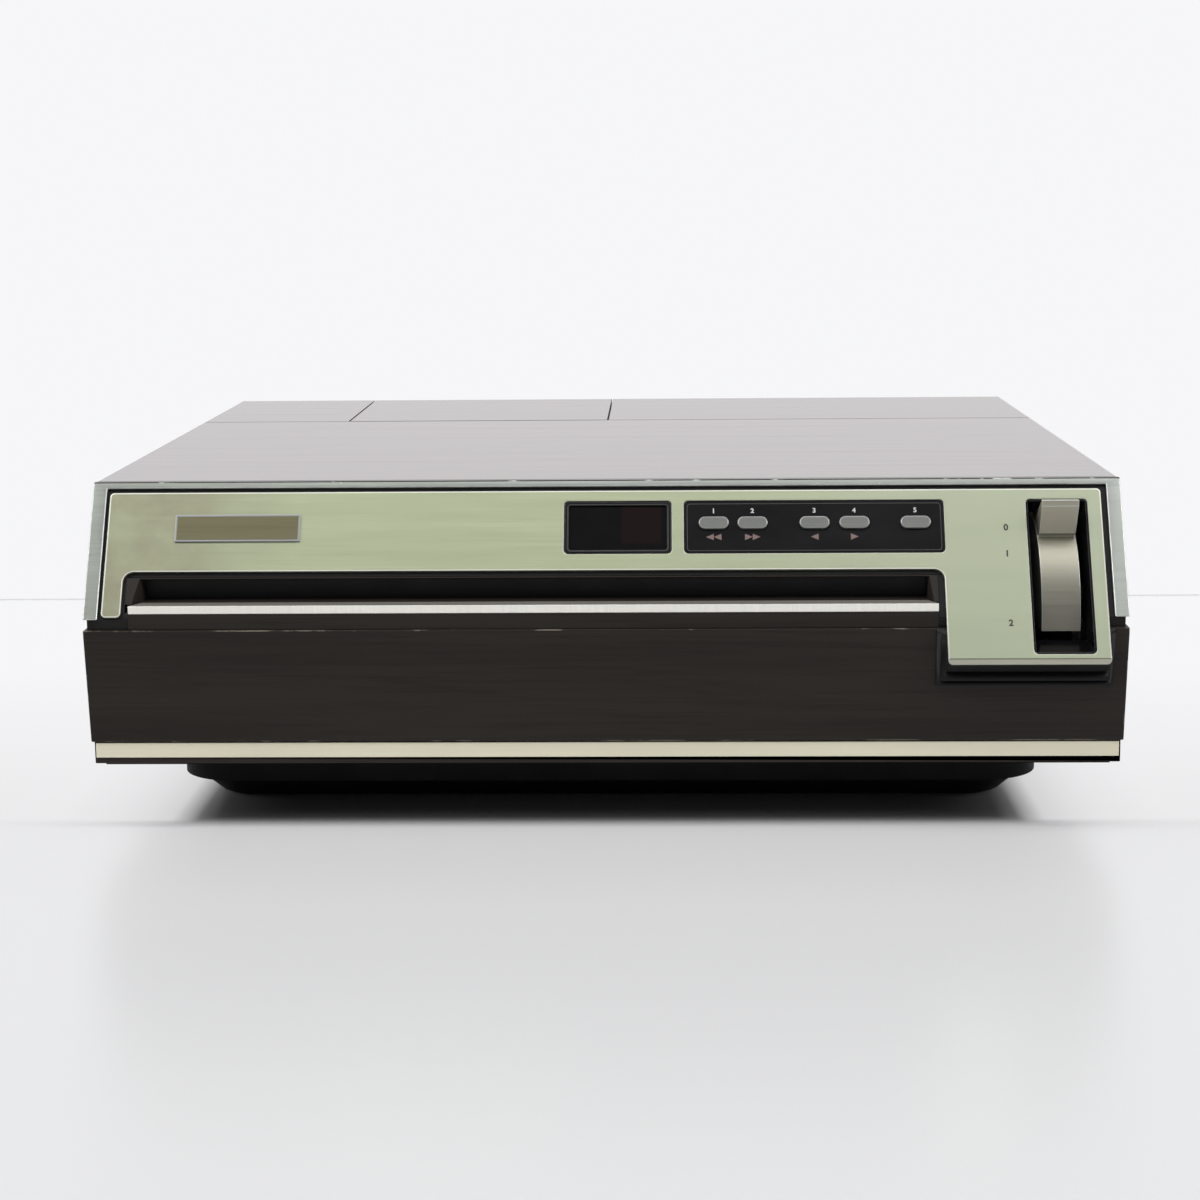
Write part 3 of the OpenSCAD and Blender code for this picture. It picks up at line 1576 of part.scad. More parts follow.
module pickup_arm() {
    t = 2;
    y0 = arm_y0 + 1;
    y1 = arm_y1 - 1;
    x1 = arm_x + 66;
    color("#b0afa8") {
        span([arm_x - 4, y0, arm_z + 3], [x1, y1, arm_z + 3 + t]);
        for (y = [y0, y1 - t])
            span([arm_x - 4, y, arm_z - 5], [x1, y + t, arm_z + 3 + eps]);
        y_rod(arm_x, arm_y0 - 4, arm_y1 + 4, arm_z, arm_pin_r);
    }
}

module stylus_cartridge() {
    t = 2;
    y0 = arm_y0 + 1 + t;
    y1 = arm_y1 - 1 - t;
    mid = (y0 + y1) / 2;
    x1 = spindle_x + 6;
    tip_z = carriage_z0 - 1;
    color("#2a2a2c") {
        span([arm_x + 8, y0, arm_z - 5], [x1, y1, arm_z + 3]);
        span([spindle_x - 1, mid - 1, tip_z], [spindle_x + 1, mid + 1, arm_z - 5 + eps]);
    }
}

// An involute gear's outline; the tooth at angle 0 is centred on +X
function involute(base, a) = base * [cos(a) + a * PI / 180 * sin(a), sin(a) - a * PI / 180 * cos(a)];
function polar_of(p) = [norm(p), atan2(p.y, p.x)];
function on_circle(r, a) = r * [cos(a), sin(a)];

module gear_outline(pitch_r, teeth) {
    tip = 1;
    root = 1.25;
    slack = 0.12;
    base = pitch_r * cos(20);
    steps = 5;
    roll_tip = sqrt(pow((pitch_r + tip) / base, 2) - 1) * 180 / PI;
    roll_pitch = tan(20) * 180 / PI;
    at_pitch = polar_of(involute(base, roll_pitch))[1];
    half = 90 / teeth - slack / (2 * pitch_r) * 180 / PI;
    flank = [for (i = [0 : steps]) polar_of(involute(base, i * roll_tip / steps))];
    root_r = pitch_r - root;
    polygon([for (k = [0 : teeth - 1])
        for (p = concat([on_circle(root_r, -half - at_pitch)],
                [for (f = flank) on_circle(f[0], f[1] - half - at_pitch)],
                [for (i = [steps : -1 : 0]) on_circle(flank[i][0], half + at_pitch - flank[i][1])],
                [on_circle(root_r, half + at_pitch)]))
            [cos(k * 360 / teeth) * p.x - sin(k * 360 / teeth) * p.y,
                sin(k * 360 / teeth) * p.x + cos(k * 360 / teeth) * p.y]]);
}

pinion_x = rack_x + pinion_r;
pinion_shaft_r = 1.5;
carriage_motor_h = 5.5;

module carriage_pinion() {
    z0 = rod_z - rack_h / 2;
    // Rack teeth stand at pinion_y plus half pitches, so a pinion tooth points to -X there
    color("#e0ddd2")
        translate([pinion_x, pinion_y, 0]) {
            translate([0, 0, z0])
                rotate([0, 0, 180])
                    linear_extrude(rack_h)
                        gear_outline(pinion_r, pinion_teeth);
            translate([0, 0, deck_z + deck_t + 1])
                cylinder(h = z0 - deck_z - deck_t, r = pinion_shaft_r);
        }
}

module carriage_motor() {
    color("#6f7173")
        translate([pinion_x, pinion_y, deck_z + deck_t])
            difference() {
                cylinder(h = carriage_motor_h, r = 10);
                translate([0, 0, 0.6])
                    cylinder(h = carriage_motor_h, r = pinion_shaft_r + run_fit);
            }
}

// ---------- electronics ----------

module main_board() {
    board_t = 1.6;
    top = board_z + board_t;
    chip_w = 8;
    chip_l = 24;
    chip_h = 4;
    can_r = 6;
    can_h = 22;
    tuner = [60, 35, 18];
    color("#4d6b3a")
        translate([board_x0, board_y0, 0]) {
            span([0, 0, board_z], [board_x1 - board_x0, board_y1 - board_y0, top]);
            for (i = [0 : 3])
                translate([14 + i * 34, 46, top - eps])
                    cube([chip_l, chip_w, chip_h]);
            for (i = [0 : 3])
                translate([20 + i * 36, 136, top - eps])
                    cube([chip_w, chip_l, chip_h]);
            for (i = [0 : 5])
                translate([16 + i * 24, 228, top - eps])
                    cylinder(h = can_h, r = can_r);
            translate([60, 86, top - eps])
                cube(tuner);
        }
}

module power_transformer() {
    core = [42, 58, 44];
    coil = [24, 76, 28];
    foot = [58, 40, 2];
    translate([side_x - 40, pocket_y - 88.5, chassis_z]) {
        color("#55504a") {
            translate([-core.x / 2, -core.y / 2, 0])
                cube(core);
            translate([-foot.x / 2, -foot.y / 2, 0])
                cube(foot);
        }
        color("#b0793a")
            translate([-coil.x / 2, -coil.y / 2, (core.z - coil.z) / 2])
                cube(coil);
    }
}

// ---------- what is drawn ----------

base_pan();
rubber_feet();
lower_cabinet();
bottom_moulding();
trim_strip();
mid_frame();
top_cover();
rear_top_cover();
stylus_door();
stylus_door_pins();
front_frame();
panel_carrier();
faceplate();
badge_plate();
display_bezel();
display_lens();
display_module();
button_bezel();
rapid_reverse_button();
rapid_forward_button();
search_reverse_button();
search_forward_button();
pause_button();
button_board();
lever_bezel();
function_lever();
lever_shaft();
lever_brackets();
slot_throat();
trim_bar();
slot_lip();
caddy_door();
caddy_door_pins();
corner_shroud();
rear_panel();
cabinet_screws();
cord_gland();
chassis_posts();
chassis_plate();
turntable_bearing();
turntable();
turntable_mat();
drive_motor();
motor_pulley();
drive_belt();
caddy_rail_left();
caddy_rail_right();
lifter_frame();
receiver_pads();
carriage_deck();
carriage_rods();
pickup_carriage();
pickup_arm();
stylus_cartridge();
carriage_pinion();
carriage_motor();
main_board();
power_transformer();
rf_modulator();
channel_switch();
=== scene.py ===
"""A caddy-loading videodisc player: the finish of its pieces, its marks, the stage and the camera.

Lengths are in metres, in the frame of the CAD model: X to the right, Y to the back, Z up.
"""

import json
import math

import bmesh
import bpy
from mathutils import Matrix, Vector

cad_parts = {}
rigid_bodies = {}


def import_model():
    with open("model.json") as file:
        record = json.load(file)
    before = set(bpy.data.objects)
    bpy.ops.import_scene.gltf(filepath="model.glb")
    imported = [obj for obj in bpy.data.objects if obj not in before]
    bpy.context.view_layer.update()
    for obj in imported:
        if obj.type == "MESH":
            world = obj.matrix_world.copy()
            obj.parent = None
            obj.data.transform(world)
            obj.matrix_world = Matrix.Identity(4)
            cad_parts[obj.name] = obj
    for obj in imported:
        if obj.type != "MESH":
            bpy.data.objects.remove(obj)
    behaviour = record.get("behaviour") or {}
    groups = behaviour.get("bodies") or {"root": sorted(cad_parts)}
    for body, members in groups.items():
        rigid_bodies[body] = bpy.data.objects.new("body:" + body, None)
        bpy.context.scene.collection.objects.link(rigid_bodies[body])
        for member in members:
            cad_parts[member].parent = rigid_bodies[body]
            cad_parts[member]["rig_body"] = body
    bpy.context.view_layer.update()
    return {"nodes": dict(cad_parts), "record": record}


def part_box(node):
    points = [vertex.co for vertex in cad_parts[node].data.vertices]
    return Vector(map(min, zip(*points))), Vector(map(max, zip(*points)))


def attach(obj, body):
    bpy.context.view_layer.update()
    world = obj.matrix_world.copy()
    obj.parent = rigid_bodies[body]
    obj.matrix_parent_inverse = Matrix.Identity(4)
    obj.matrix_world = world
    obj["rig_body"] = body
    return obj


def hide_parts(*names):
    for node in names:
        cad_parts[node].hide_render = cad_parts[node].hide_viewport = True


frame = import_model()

MM = 0.001
nodes = frame["nodes"]


# ---------- places taken from the frame ----------

frame_low, frame_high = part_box("front_frame")
SLOPE_RUN = 30.7 * MM  # how far the top front edge lies behind the prow
PROW_Y = frame_low.y
BROW_Y = PROW_Y + SLOPE_RUN
TOP_Z = frame_high.z
LEAN = math.atan2(SLOPE_RUN, TOP_Z - frame_low.z)

# Local x runs across the sloping front, y up it and z straight out of it
PANEL = Matrix.Translation((0, BROW_Y, TOP_Z)) @ Matrix.Rotation(math.pi / 2 - LEAN, 4, "X")


def on_panel(x, s, d=0.0):
    """The point s millimetres down the slope and d millimetres out of it, at x millimetres."""
    return PANEL @ Vector((x * MM, -s * MM, d * MM))


def slope_at(z, d=0.0):
    """How far down the slope a point at height z lies, in metres, d metres out of the slope."""
    return (TOP_Z - z + d * math.sin(LEAN)) / math.cos(LEAN)


# In millimetres down the slope: the windows' top and bottom edges, and the lever well's bottom edge
WINDOW_S = (9.5, 33.3)
WELL_END = 77.7

FACE_T = 1.6 * MM  # the faceplate's thickness
BADGE_T = 0.8 * MM  # how far the badge stands proud
well_low, well_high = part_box("lever_bezel")
window_low, window_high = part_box("display_bezel")[0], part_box("button_bezel")[1]
badge_low, badge_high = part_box("badge_plate")
BLOCK_LEN = slope_at(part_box("faceplate")[0].z, -FACE_T)  # down to the control block's bottom edge


# ---------- camera ----------

# Solved from the photograph: the eye, its pitch down, its turn to the left and its roll, in radians
EYE = Vector((25.19 * MM, PROW_Y - 944.05 * MM, 274.18 * MM))
PITCH = 0.18209
TURN = 0.027907
ROLL = -0.008765
LENS = 70.02
SENSOR = 36.0


def make_camera():
    """The camera that took the photograph."""
    data = bpy.data.cameras.new("camera")
    data.sensor_fit = "HORIZONTAL"
    data.sensor_width = SENSOR
    data.lens = LENS
    data.clip_start = 0.01
    camera = bpy.data.objects.new("camera", data)
    bpy.context.scene.collection.objects.link(camera)
    turn = Matrix.Rotation(TURN, 3, "Z")
    look = Matrix.Rotation(math.pi / 2 - PITCH, 3, "X")
    roll = Matrix.Rotation(ROLL, 3, "Z")
    camera.matrix_world = Matrix.Translation(EYE) @ (turn @ look @ roll).to_4x4()
    bpy.context.scene.camera = camera


# ---------- materials ----------


class Shader:
    """A material's node tree, with short calls for the nodes used here."""

    def __init__(self, name, color, roughness, metallic=0.0, **sockets):
        self.material = bpy.data.materials.new(name)
        self.material.use_nodes = True
        self.tree = self.material.node_tree
        self.bsdf = self.tree.nodes["Principled BSDF"]
        self.bsdf.inputs["Base Color"].default_value = (*color, 1)
        self.bsdf.inputs["Roughness"].default_value = roughness
        self.bsdf.inputs["Metallic"].default_value = metallic
        for key, value in sockets.items():
            self.bsdf.inputs[key.replace("_", " ")].default_value = value
        self.place = self.tree.nodes.new("ShaderNodeTexCoord").outputs["Object"]

    def link(self, output, node, socket):
        self.tree.links.new(output, node.inputs[socket])

    def feed(self, socket, value):
        """Gives a socket an output to follow, or a plain number."""
        if isinstance(value, bpy.types.NodeSocket):
            self.tree.links.new(value, socket)
        else:
            socket.default_value = value

    def stretched(self, scale):
        """Object coordinates, scaled per axis."""
        node = self.tree.nodes.new("ShaderNodeMapping")
        node.inputs["Scale"].default_value = scale
        self.link(self.place, node, "Vector")
        return node.outputs["Vector"]

    def noise(self, vector, scale, detail, roughness, distortion=0.0):
        node = self.tree.nodes.new("ShaderNodeTexNoise")
        node.inputs["Scale"].default_value = scale
        node.inputs["Detail"].default_value = detail
        node.inputs["Roughness"].default_value = roughness
        node.inputs["Distortion"].default_value = distortion
        self.link(vector, node, "Vector")
        return node.outputs["Fac"]

    def span(self, value, low, high, to_low=0.0, to_high=1.0):
        """value, spread from low..high to to_low..to_high and held inside it."""
        node = self.tree.nodes.new("ShaderNodeMapRange")
        node.inputs["From Min"].default_value = low
        node.inputs["From Max"].default_value = high
        node.inputs["To Min"].default_value = to_low
        node.inputs["To Max"].default_value = to_high
        self.link(value, node, "Value")
        return node.outputs["Result"]

    def ramp(self, value, stops):
        """Colours along value, from (place, colour) stops."""
        node = self.tree.nodes.new("ShaderNodeValToRGB")
        elements = node.color_ramp.elements
        for place, color in stops[2:]:
            elements.new(place)
        for element, (place, color) in zip(elements, stops):
            element.position = place
            element.color = (*color, 1)
        self.link(value, node, "Fac")
        return node.outputs["Color"]

    def mix(self, factor, a, b, blend="MIX"):
        """Colour a to colour b, blended by factor; each is an output or plain."""
        node = self.tree.nodes.new("ShaderNodeMix")
        node.data_type = "RGBA"
        node.blend_type = blend
        self.feed(node.inputs["Factor"], factor)
        for socket, value in zip((node.inputs[6], node.inputs[7]), (a, b)):
            self.feed(socket, (*value, 1) if isinstance(value, tuple) else value)
        return node.outputs[2]

    def math(self, operation, a, b=0.0):
        node = self.tree.nodes.new("ShaderNodeMath")
        node.operation = operation
        self.feed(node.inputs[0], a)
        self.feed(node.inputs[1], b)
        return node.outputs[0]

    def axis(self, name):
        """One of the object coordinates, X, Y or Z."""
        node = self.tree.nodes.new("ShaderNodeSeparateXYZ")
        self.link(self.place, node, "Vector")
        return node.outputs[name]

    def on_side(self):
        """1 on faces that look left or right, 0 on the others."""
        node = self.tree.nodes.new("ShaderNodeSeparateXYZ")
        self.link(self.tree.nodes["Texture Coordinate"].outputs["Normal"], node, "Vector")
        return self.span(self.math("ABSOLUTE", node.outputs["X"]), 0.7, 0.75)

    def blend(self, factor, a, b):
        """Value a to value b."""
        node = self.tree.nodes.new("ShaderNodeMix")
        for socket, value in zip(("Factor", "A", "B"), (factor, a, b)):
            self.link(value, node, socket)
        return node.outputs["Result"]

    def slope(self):
        """Distance down the slope of the front, in metres."""
        node = self.tree.nodes.new("ShaderNodeVectorMath")
        node.operation = "DOT_PRODUCT"
        self.link(self.place, node, 0)
        node.inputs[1].default_value = (0, math.sin(LEAN), math.cos(LEAN))
        brow = BROW_Y * math.sin(LEAN) + TOP_Z * math.cos(LEAN)
        return self.math("SUBTRACT", brow, node.outputs["Value"])

    def between(self, value, low, high, soft=0.06 * MM):
        """1 where value lies between low and high, 0 elsewhere."""
        inside = self.span(value, low - soft, low + soft)
        return self.math("MULTIPLY", inside, self.span(value, high - soft, high + soft, 1.0, 0.0))

    def painted(self):
        """The colour given so far."""
        return self.bsdf.inputs["Base Color"].links[0].from_socket

    def color(self, output):
        self.link(output, self.bsdf, "Base Color")

    def roughness(self, output):
        self.link(output, self.bsdf, "Roughness")

    def bump(self, height, strength, distance):
        node = self.tree.nodes.new("ShaderNodeBump")
        node.inputs["Strength"].default_value = strength
        node.inputs["Distance"].default_value = distance
        self.link(height, node, "Height")
        self.link(node.outputs["Normal"], self.bsdf, "Normal")


def tint(color, factor):
    """A colour made lighter or darker."""
    return tuple(min(1.0, c * factor) for c in color)


def brushed(name, color, along, roughness=0.33, contrast=0.06, metallic=1.0, stain=0.06, lines=900.0):
    """Brushed metal, its lines along 'x', 'y' or 'z', with cloudy stains."""
    s = Shader(name, color, roughness, metallic)
    fine = {"x": (0.012, 1, 1), "y": (1, 0.012, 1), "z": (1, 1, 0.012)}[along]
    vector = s.stretched(fine)
    streak = s.noise(vector, lines * 1.6, 4, 0.65)
    wide = s.noise(vector, lines * 0.22, 3, 0.6)
    both = s.math("ADD", s.math("MULTIPLY", streak, 0.65), s.math("MULTIPLY", wide, 0.35))
    cloud = s.noise(s.place, 16, 3, 0.5)
    base = s.ramp(both, [(0.32, tint(color, 1 - contrast * 2)), (0.68, tint(color, 1 + contrast))])
    s.color(s.mix(s.span(cloud, 0.42, 0.72), base, tint(color, 1 - stain)))
    s.roughness(s.span(both, 0.3, 0.7, roughness * 0.82, roughness * 1.22))
    s.bump(both, 0.12, 0.12 * MM)
    return s


def moulded(name, color, roughness, grain=1400.0, **sockets):
    """Moulded plastic with a fine grain and slight changes of tone."""
    wear = 0.12
    s = Shader(name, color, roughness, **sockets)
    cloud = s.noise(s.place, 22, 4, 0.6)
    s.color(s.ramp(cloud, [(0.3, tint(color, 1 - wear)), (0.75, tint(color, 1 + wear))]))
    skin = s.noise(s.place, grain, 2, 0.5)
    s.roughness(s.span(s.noise(s.place, 60, 4, 0.6), 0.3, 0.7, roughness * 0.85, roughness * 1.15))
    s.bump(skin, 0.35, 0.05 * MM)
    return s


def wood_vinyl(name, dark, light, roughness, level, coat=0.0):
    """Printed wood grain, level along each face; level is its gloss, and coat a film over it."""
    s = Shader(name, light, roughness, Specular_IOR_Level=level, Coat_Weight=coat)
    s.bsdf.inputs["Coat Roughness"].default_value = 0.22
    s.bsdf.inputs["Coat IOR"].default_value = 1.68
    on_side = s.on_side()
    broad = [s.noise(s.stretched(scale), 75, 5, 0.62, 0.8) for scale in ((0.05, 1, 1), (1, 0.05, 1))]
    fine = [s.noise(s.stretched(scale), 800, 3, 0.6) for scale in ((0.02, 1, 1), (1, 0.02, 1))]
    figure = s.blend(on_side, *broad)
    pores = s.blend(on_side, *fine)
    tone = s.ramp(figure, [(0.36, dark), (0.5, tint(light, 0.9)), (0.66, light)])
    s.color(s.mix(s.span(pores, 0.5, 0.7, 0.0, 0.6), tone, tint(dark, 0.75)))
    s.roughness(s.span(figure, 0.3, 0.7, roughness * 0.88, roughness * 1.15))
    s.bump(pores, 0.25, 0.06 * MM)
    return s.material


def base_plastic():
    """The base pan's near-black plastic, coarser and duller than the rest."""
    return moulded("base_plastic", (0.006, 0.006, 0.006), 0.55, 900, Specular_IOR_Level=0.12).material


def gloss_black():
    """Shiny black plastic, with faint dust and wiping marks in its gloss."""
    s = Shader("gloss_black", (0.004, 0.004, 0.0045), 0.14, Specular_IOR_Level=0.16)
    smear = s.noise(s.stretched((0.4, 1, 1)), 55, 4, 0.6)
    s.color(s.ramp(smear, [(0.35, (0.003, 0.003, 0.0035)), (0.8, (0.008, 0.008, 0.0088))]))
    s.roughness(s.span(smear, 0.3, 0.75, 0.1, 0.26))
    return s.material


def face_metal():
    """The faceplate: champagne green, browner at the left, a pale band at the block's lower edge."""
    band_top = BLOCK_LEN - 1.9 * MM
    band_line = 0.5 * MM  # the darker line over the band
    s = brushed("face_metal", (0.38, 0.42, 0.275), "x", 0.36, 0.05, 0.75, 0.05, 1300)
    patch = s.noise(s.place, 28, 4, 0.6)
    left = s.span(s.axis("X"), -0.13, -0.19, 0.0, 1.0)
    dull = s.math("MULTIPLY", left, s.span(patch, 0.3, 0.65, 0.25, 0.95))
    right = s.span(s.axis("X"), 0.0, 0.15)
    cooled = s.mix(s.math("MULTIPLY", right, 0.8), s.painted(), (0.385, 0.42, 0.31))
    plain = s.mix(dull, cooled, (0.25, 0.235, 0.165))
    down = s.slope()
    lined = s.mix(s.between(down, band_top - band_line, band_top), plain, (0.2, 0.21, 0.16))
    s.color(s.mix(s.span(down, band_top, band_top + 0.1 * MM), lined, (0.62, 0.61, 0.5)))
    return s.material


def frame_metal():
    """The front frame: grey brushed metal with worn spots, darker at its left end."""
    s = brushed("frame_metal", (0.34, 0.365, 0.335), "x", 0.38, 0.1, 0.85, 0.12, 1100)
    across = s.span(s.axis("X"), -0.2, 0.2)
    toned = s.mix(1.0, s.painted(), s.mix(across, (0.86, 0.86, 0.84), (1.15, 1.13, 1.14)), "MULTIPLY")
    chips = s.noise(s.place, 420, 3, 0.7)
    s.color(s.mix(s.span(chips, 0.69, 0.73), toned, (0.66, 0.64, 0.58)))
    return s.material


def badge_metal():
    """The blank badge: an olive field inside a silvery line."""
    rim = 0.8 * MM
    s = brushed("badge", (0.145, 0.133, 0.075), "x", 0.4, 0.08, 0.7)
    across = s.between(s.axis("X"), badge_low.x + rim, badge_high.x - rim)
    down = s.between(s.slope(), slope_at(badge_high.z, BADGE_T) + rim, slope_at(badge_low.z) - rim)
    s.color(s.mix(s.math("MULTIPLY", across, down), (0.27, 0.275, 0.28), s.painted()))
    return s.material


def lever_metal():
    """The lever: its finger tab is painted a little lighter than the drum, as painted light, and the
    drum is painted darker down the slope, as painted shade.
    """
    tab_end = 24.2 * MM
    s = brushed("lever_nickel", (0.33, 0.315, 0.27), "x", 0.44, 0.06, 0.8)
    down = s.slope()
    # Painted shade: the drum darkens down the slope
    drum = s.mix(s.span(down, 28 * MM, 62 * MM), (1.05, 1.06, 1.0), (0.72, 0.72, 0.7))
    # Painted light: the finger tab is made lighter than the drum
    toned = s.mix(s.span(down, tab_end, tab_end + 0.4 * MM), (1.35, 1.33, 1.25), drum)
    s.color(s.mix(1.0, s.painted(), toned, "MULTIPLY"))
    return s.material


def worn_edge(name, color, worn):
    """An edge rubbed bright here and there; the bright patches are partly wear and partly a painted
    highlight along the edge.
    """
    s = Shader(name, color, 0.45, Specular_IOR_Level=0.2)
    rub = s.noise(s.stretched((0.35, 1, 1)), 130, 5, 0.7)
    s.color(s.mix(s.span(rub, 0.53, 0.6), color, worn))
    return s.material


def frame_edge():
    """The front frame's edges: silvery as a painted highlight, with a dark line of painted shade where
    the frame meets the cover.
    """
    line = TOP_Z - 0.5 * MM
    s = Shader("frame_edge", (0.5, 0.52, 0.5), 0.36, 0.7)
    # Painted shade: a dark line along the top edge, in the seam against the cover
    top = s.span(s.axis("Z"), line - 0.1 * MM, line)
    rub = s.noise(s.stretched((0.4, 1, 1)), 160, 4, 0.7)
    # Painted highlight: the silver of the rounded edges
    silver = s.mix(s.span(rub, 0.3, 0.7), (0.4, 0.42, 0.41), (0.62, 0.64, 0.61))
    dark = s.math("MULTIPLY", top, s.span(rub, 0.6, 0.66, 1.0, 0.3))
    s.color(s.mix(dark, silver, (0.02, 0.014, 0.013)))
    return s.material


def lens_glass():
    """The smoked display window, a little redder at the upper right, where the digits light."""
    digits_x = (7.5 * MM, 24.1 * MM)
    digits_z = 121 * MM
    s = Shader("smoked_lens", (0.004, 0.0035, 0.0035), 0.12, Specular_IOR_Level=0.08)
    haze = s.noise(s.place, 90, 4, 0.6)
    base = s.ramp(haze, [(0.3, (0.0028, 0.0028, 0.003)), (0.8, (0.005, 0.0048, 0.0048))])
    across = s.between(s.axis("X"), *digits_x, 0.3 * MM)
    above = s.span(s.axis("Z"), digits_z - 0.5 * MM, digits_z + 0.5 * MM)
    digits = s.math("MULTIPLY", across, above)
    s.color(s.mix(s.math("MULTIPLY", digits, 0.45), base, (0.018, 0.0075, 0.0068)))
    return s.material


def felt(name, color):
    """Coarse felt, mottled and fuzzy."""
    s = Shader(name, color, 0.95)
    fuzz = s.noise(s.place, 2600, 4, 0.8)
    s.color(s.ramp(fuzz, [(0.3, tint(color, 0.7)), (0.75, tint(color, 1.3))]))
    s.bump(fuzz, 0.7, 0.2 * MM)
    return s.material


def board(name, color):
    """A printed board; a brick pattern stands for its tracks."""
    s = Shader(name, color, 0.45)
    brick = s.tree.nodes.new("ShaderNodeTexBrick")
    brick.inputs["Scale"].default_value = 90
    brick.inputs["Color1"].default_value = (*tint(color, 1.25), 1)
    brick.inputs["Color2"].default_value = (*color, 1)
    brick.inputs["Mortar"].default_value = (*tint(color, 0.6), 1)
    s.link(s.place, brick, "Vector")
    s.color(brick.outputs["Color"])
    return s.material


# name: colour, roughness
PLASTICS = {
    "foot_rubber": ((0.015, 0.015, 0.015), 0.8),
    "led_red": ((0.05, 0.012, 0.01), 0.3),
    "rear_board": ((0.03, 0.025, 0.022), 0.7),
    "mat_rubber": ((0.03, 0.03, 0.03), 0.75),
    "motor_paint": ((0.22, 0.23, 0.24), 0.45),
    "cartridge_plastic": ((0.03, 0.03, 0.032), 0.4),
    "pinion_nylon": ((0.7, 0.69, 0.62), 0.5),
    "white_ink": ((0.62, 0.62, 0.6), 0.5),
    "dark_ink": ((0.02, 0.02, 0.018), 0.5),
    "arrow_ink": ((0.19, 0.13, 0.115), 0.5),
    # A painted highlight: a lighter black for the bezels' rounded edges
    "highlight_edge": ((0.014, 0.014, 0.015), 0.3),
    "rim_grey": ((0.034, 0.034, 0.032), 0.4),
}

# name: colour, roughness; for plastics with a duller shine
DULL_PLASTICS = {
    "band_plastic": ((0.012, 0.011, 0.01), 0.5),
    "black_plastic": ((0.0095, 0.0095, 0.0095), 0.42),
    "throat_brown": ((0.021, 0.0165, 0.0138), 0.5),
    # dark_edge is painted shade: it darkens the covers' rounded edges, to show the seam against the
    # frame
    "dark_edge": ((0.03, 0.022, 0.02), 0.5),
}

# name: colour, direction of the lines, roughness, contrast, metallic
METALS = {
    "strip_metal": ((0.84, 0.8, 0.62), "x", 0.4, 0.03, 0.4),
    "pin_steel": ((0.55, 0.55, 0.54), "x"),
    "button_grey": ((0.18, 0.185, 0.175), "x", 0.35, 0.05, 0.7),
    "bracket_steel": ((0.5, 0.51, 0.5), "y"),
    "bar_metal": ((0.98, 0.95, 0.88), "z", 0.34, 0.05, 0.3),
    "bar_top": ((0.46, 0.43, 0.39), "x", 0.36, 0.08, 0.6),
    "screw_steel": ((0.42, 0.42, 0.41), "z"),
    "cast_metal": ((0.56, 0.56, 0.54), "x", 0.45),
    "brass_pulley": ((0.62, 0.48, 0.24), "z"),
    "core_steel": ((0.16, 0.15, 0.14), "z", 0.5),
    "shield_can": ((0.56, 0.56, 0.54), "x"),
    "bright_edge": ((0.72, 0.72, 0.64), "x", 0.34, 0.04, 0.6),
    # A painted highlight along the lever's rounded edges
    "light_edge": ((0.6, 0.62, 0.58), "x", 0.35, 0.06, 0.7),
    "badge_edge": ((0.36, 0.37, 0.38), "x", 0.4, 0.05, 0.7),
    # A painted highlight along the buttons' rounded edges
    "button_edge": ((0.34, 0.345, 0.33), "x", 0.35, 0.05, 0.7),
}

# name: dark grain, light grain, roughness, gloss, film
VINYLS = {
    "cabinet_lower": ((0.014, 0.0105, 0.008), (0.022, 0.0175, 0.014), 0.5, 0.2),
    "moulding": ((0.02, 0.014, 0.011), (0.034, 0.026, 0.022), 0.5, 0.2),
    "cover_vinyl": ((0.09, 0.052, 0.045), (0.15, 0.108, 0.1), 0.38, 0.5, 1.0),
}

MATERIALS = {
    "base_plastic": base_plastic(),
    "frame_metal": frame_metal(),
    "face_metal": face_metal(),
    "badge": badge_metal(),
    "gloss_black": gloss_black(),
    "smoked_lens": lens_glass(),
    "board_green": board("board_green", (0.05, 0.12, 0.05)),
    "lever_nickel": lever_metal(),
    "pad_felt": felt("pad_felt", (0.2, 0.07, 0.05)),
    "frame_edge": frame_edge(),
    # Edges rubbed bright: partly wear, partly a painted highlight along them
    "worn_and_highlit_brown": worn_edge("worn_and_highlit_brown", (0.02, 0.015, 0.012), (0.16, 0.135, 0.11)),
    "worn_and_highlit_throat": worn_edge("worn_and_highlit_throat", (0.035, 0.03, 0.026), (0.1, 0.09, 0.078)),
}
for name, row in VINYLS.items():
    MATERIALS[name] = wood_vinyl(name, *row)
for name, row in PLASTICS.items():
    MATERIALS[name] = moulded(name, *row).material
for name, row in DULL_PLASTICS.items():
    MATERIALS[name] = moulded(name, *row, Specular_IOR_Level=0.2).material
for name, row in METALS.items():
    MATERIALS[name] = brushed(name, *row).material


# ---------- pieces ----------

SLOT_OF = {row["node"]: row["material_slot"] for row in frame["record"]["subparts"]}
SHARP = math.radians(32)  # edges that bend more than this are rounded
FLAT = math.radians(0.4)  # facets that bend less than this are one face
WELD = 0.002 * MM
BORDER = 0.5 * MM  # the bright line along the faceplate's outline
BORDER_SLACK = 1.0  # how far an opening's own line may lie outside it, in millimetres


def paint(piece, *names):
    """Gives a piece these materials and no others."""
    piece.data.materials.clear()
    for name in names:
        piece.data.materials.append(MATERIALS[name])


def add_mesh(name, mesh):
    piece = bpy.data.objects.new(name, mesh)
    bpy.context.scene.collection.objects.link(piece)
    return piece


def flatten_modifiers(piece):
    """Keeps the modifiers' result as the piece's own mesh."""
    graph = bpy.context.evaluated_depsgraph_get()
    mesh = bpy.data.meshes.new_from_object(piece.evaluated_get(graph))
    piece.modifiers.clear()
    piece.data = mesh


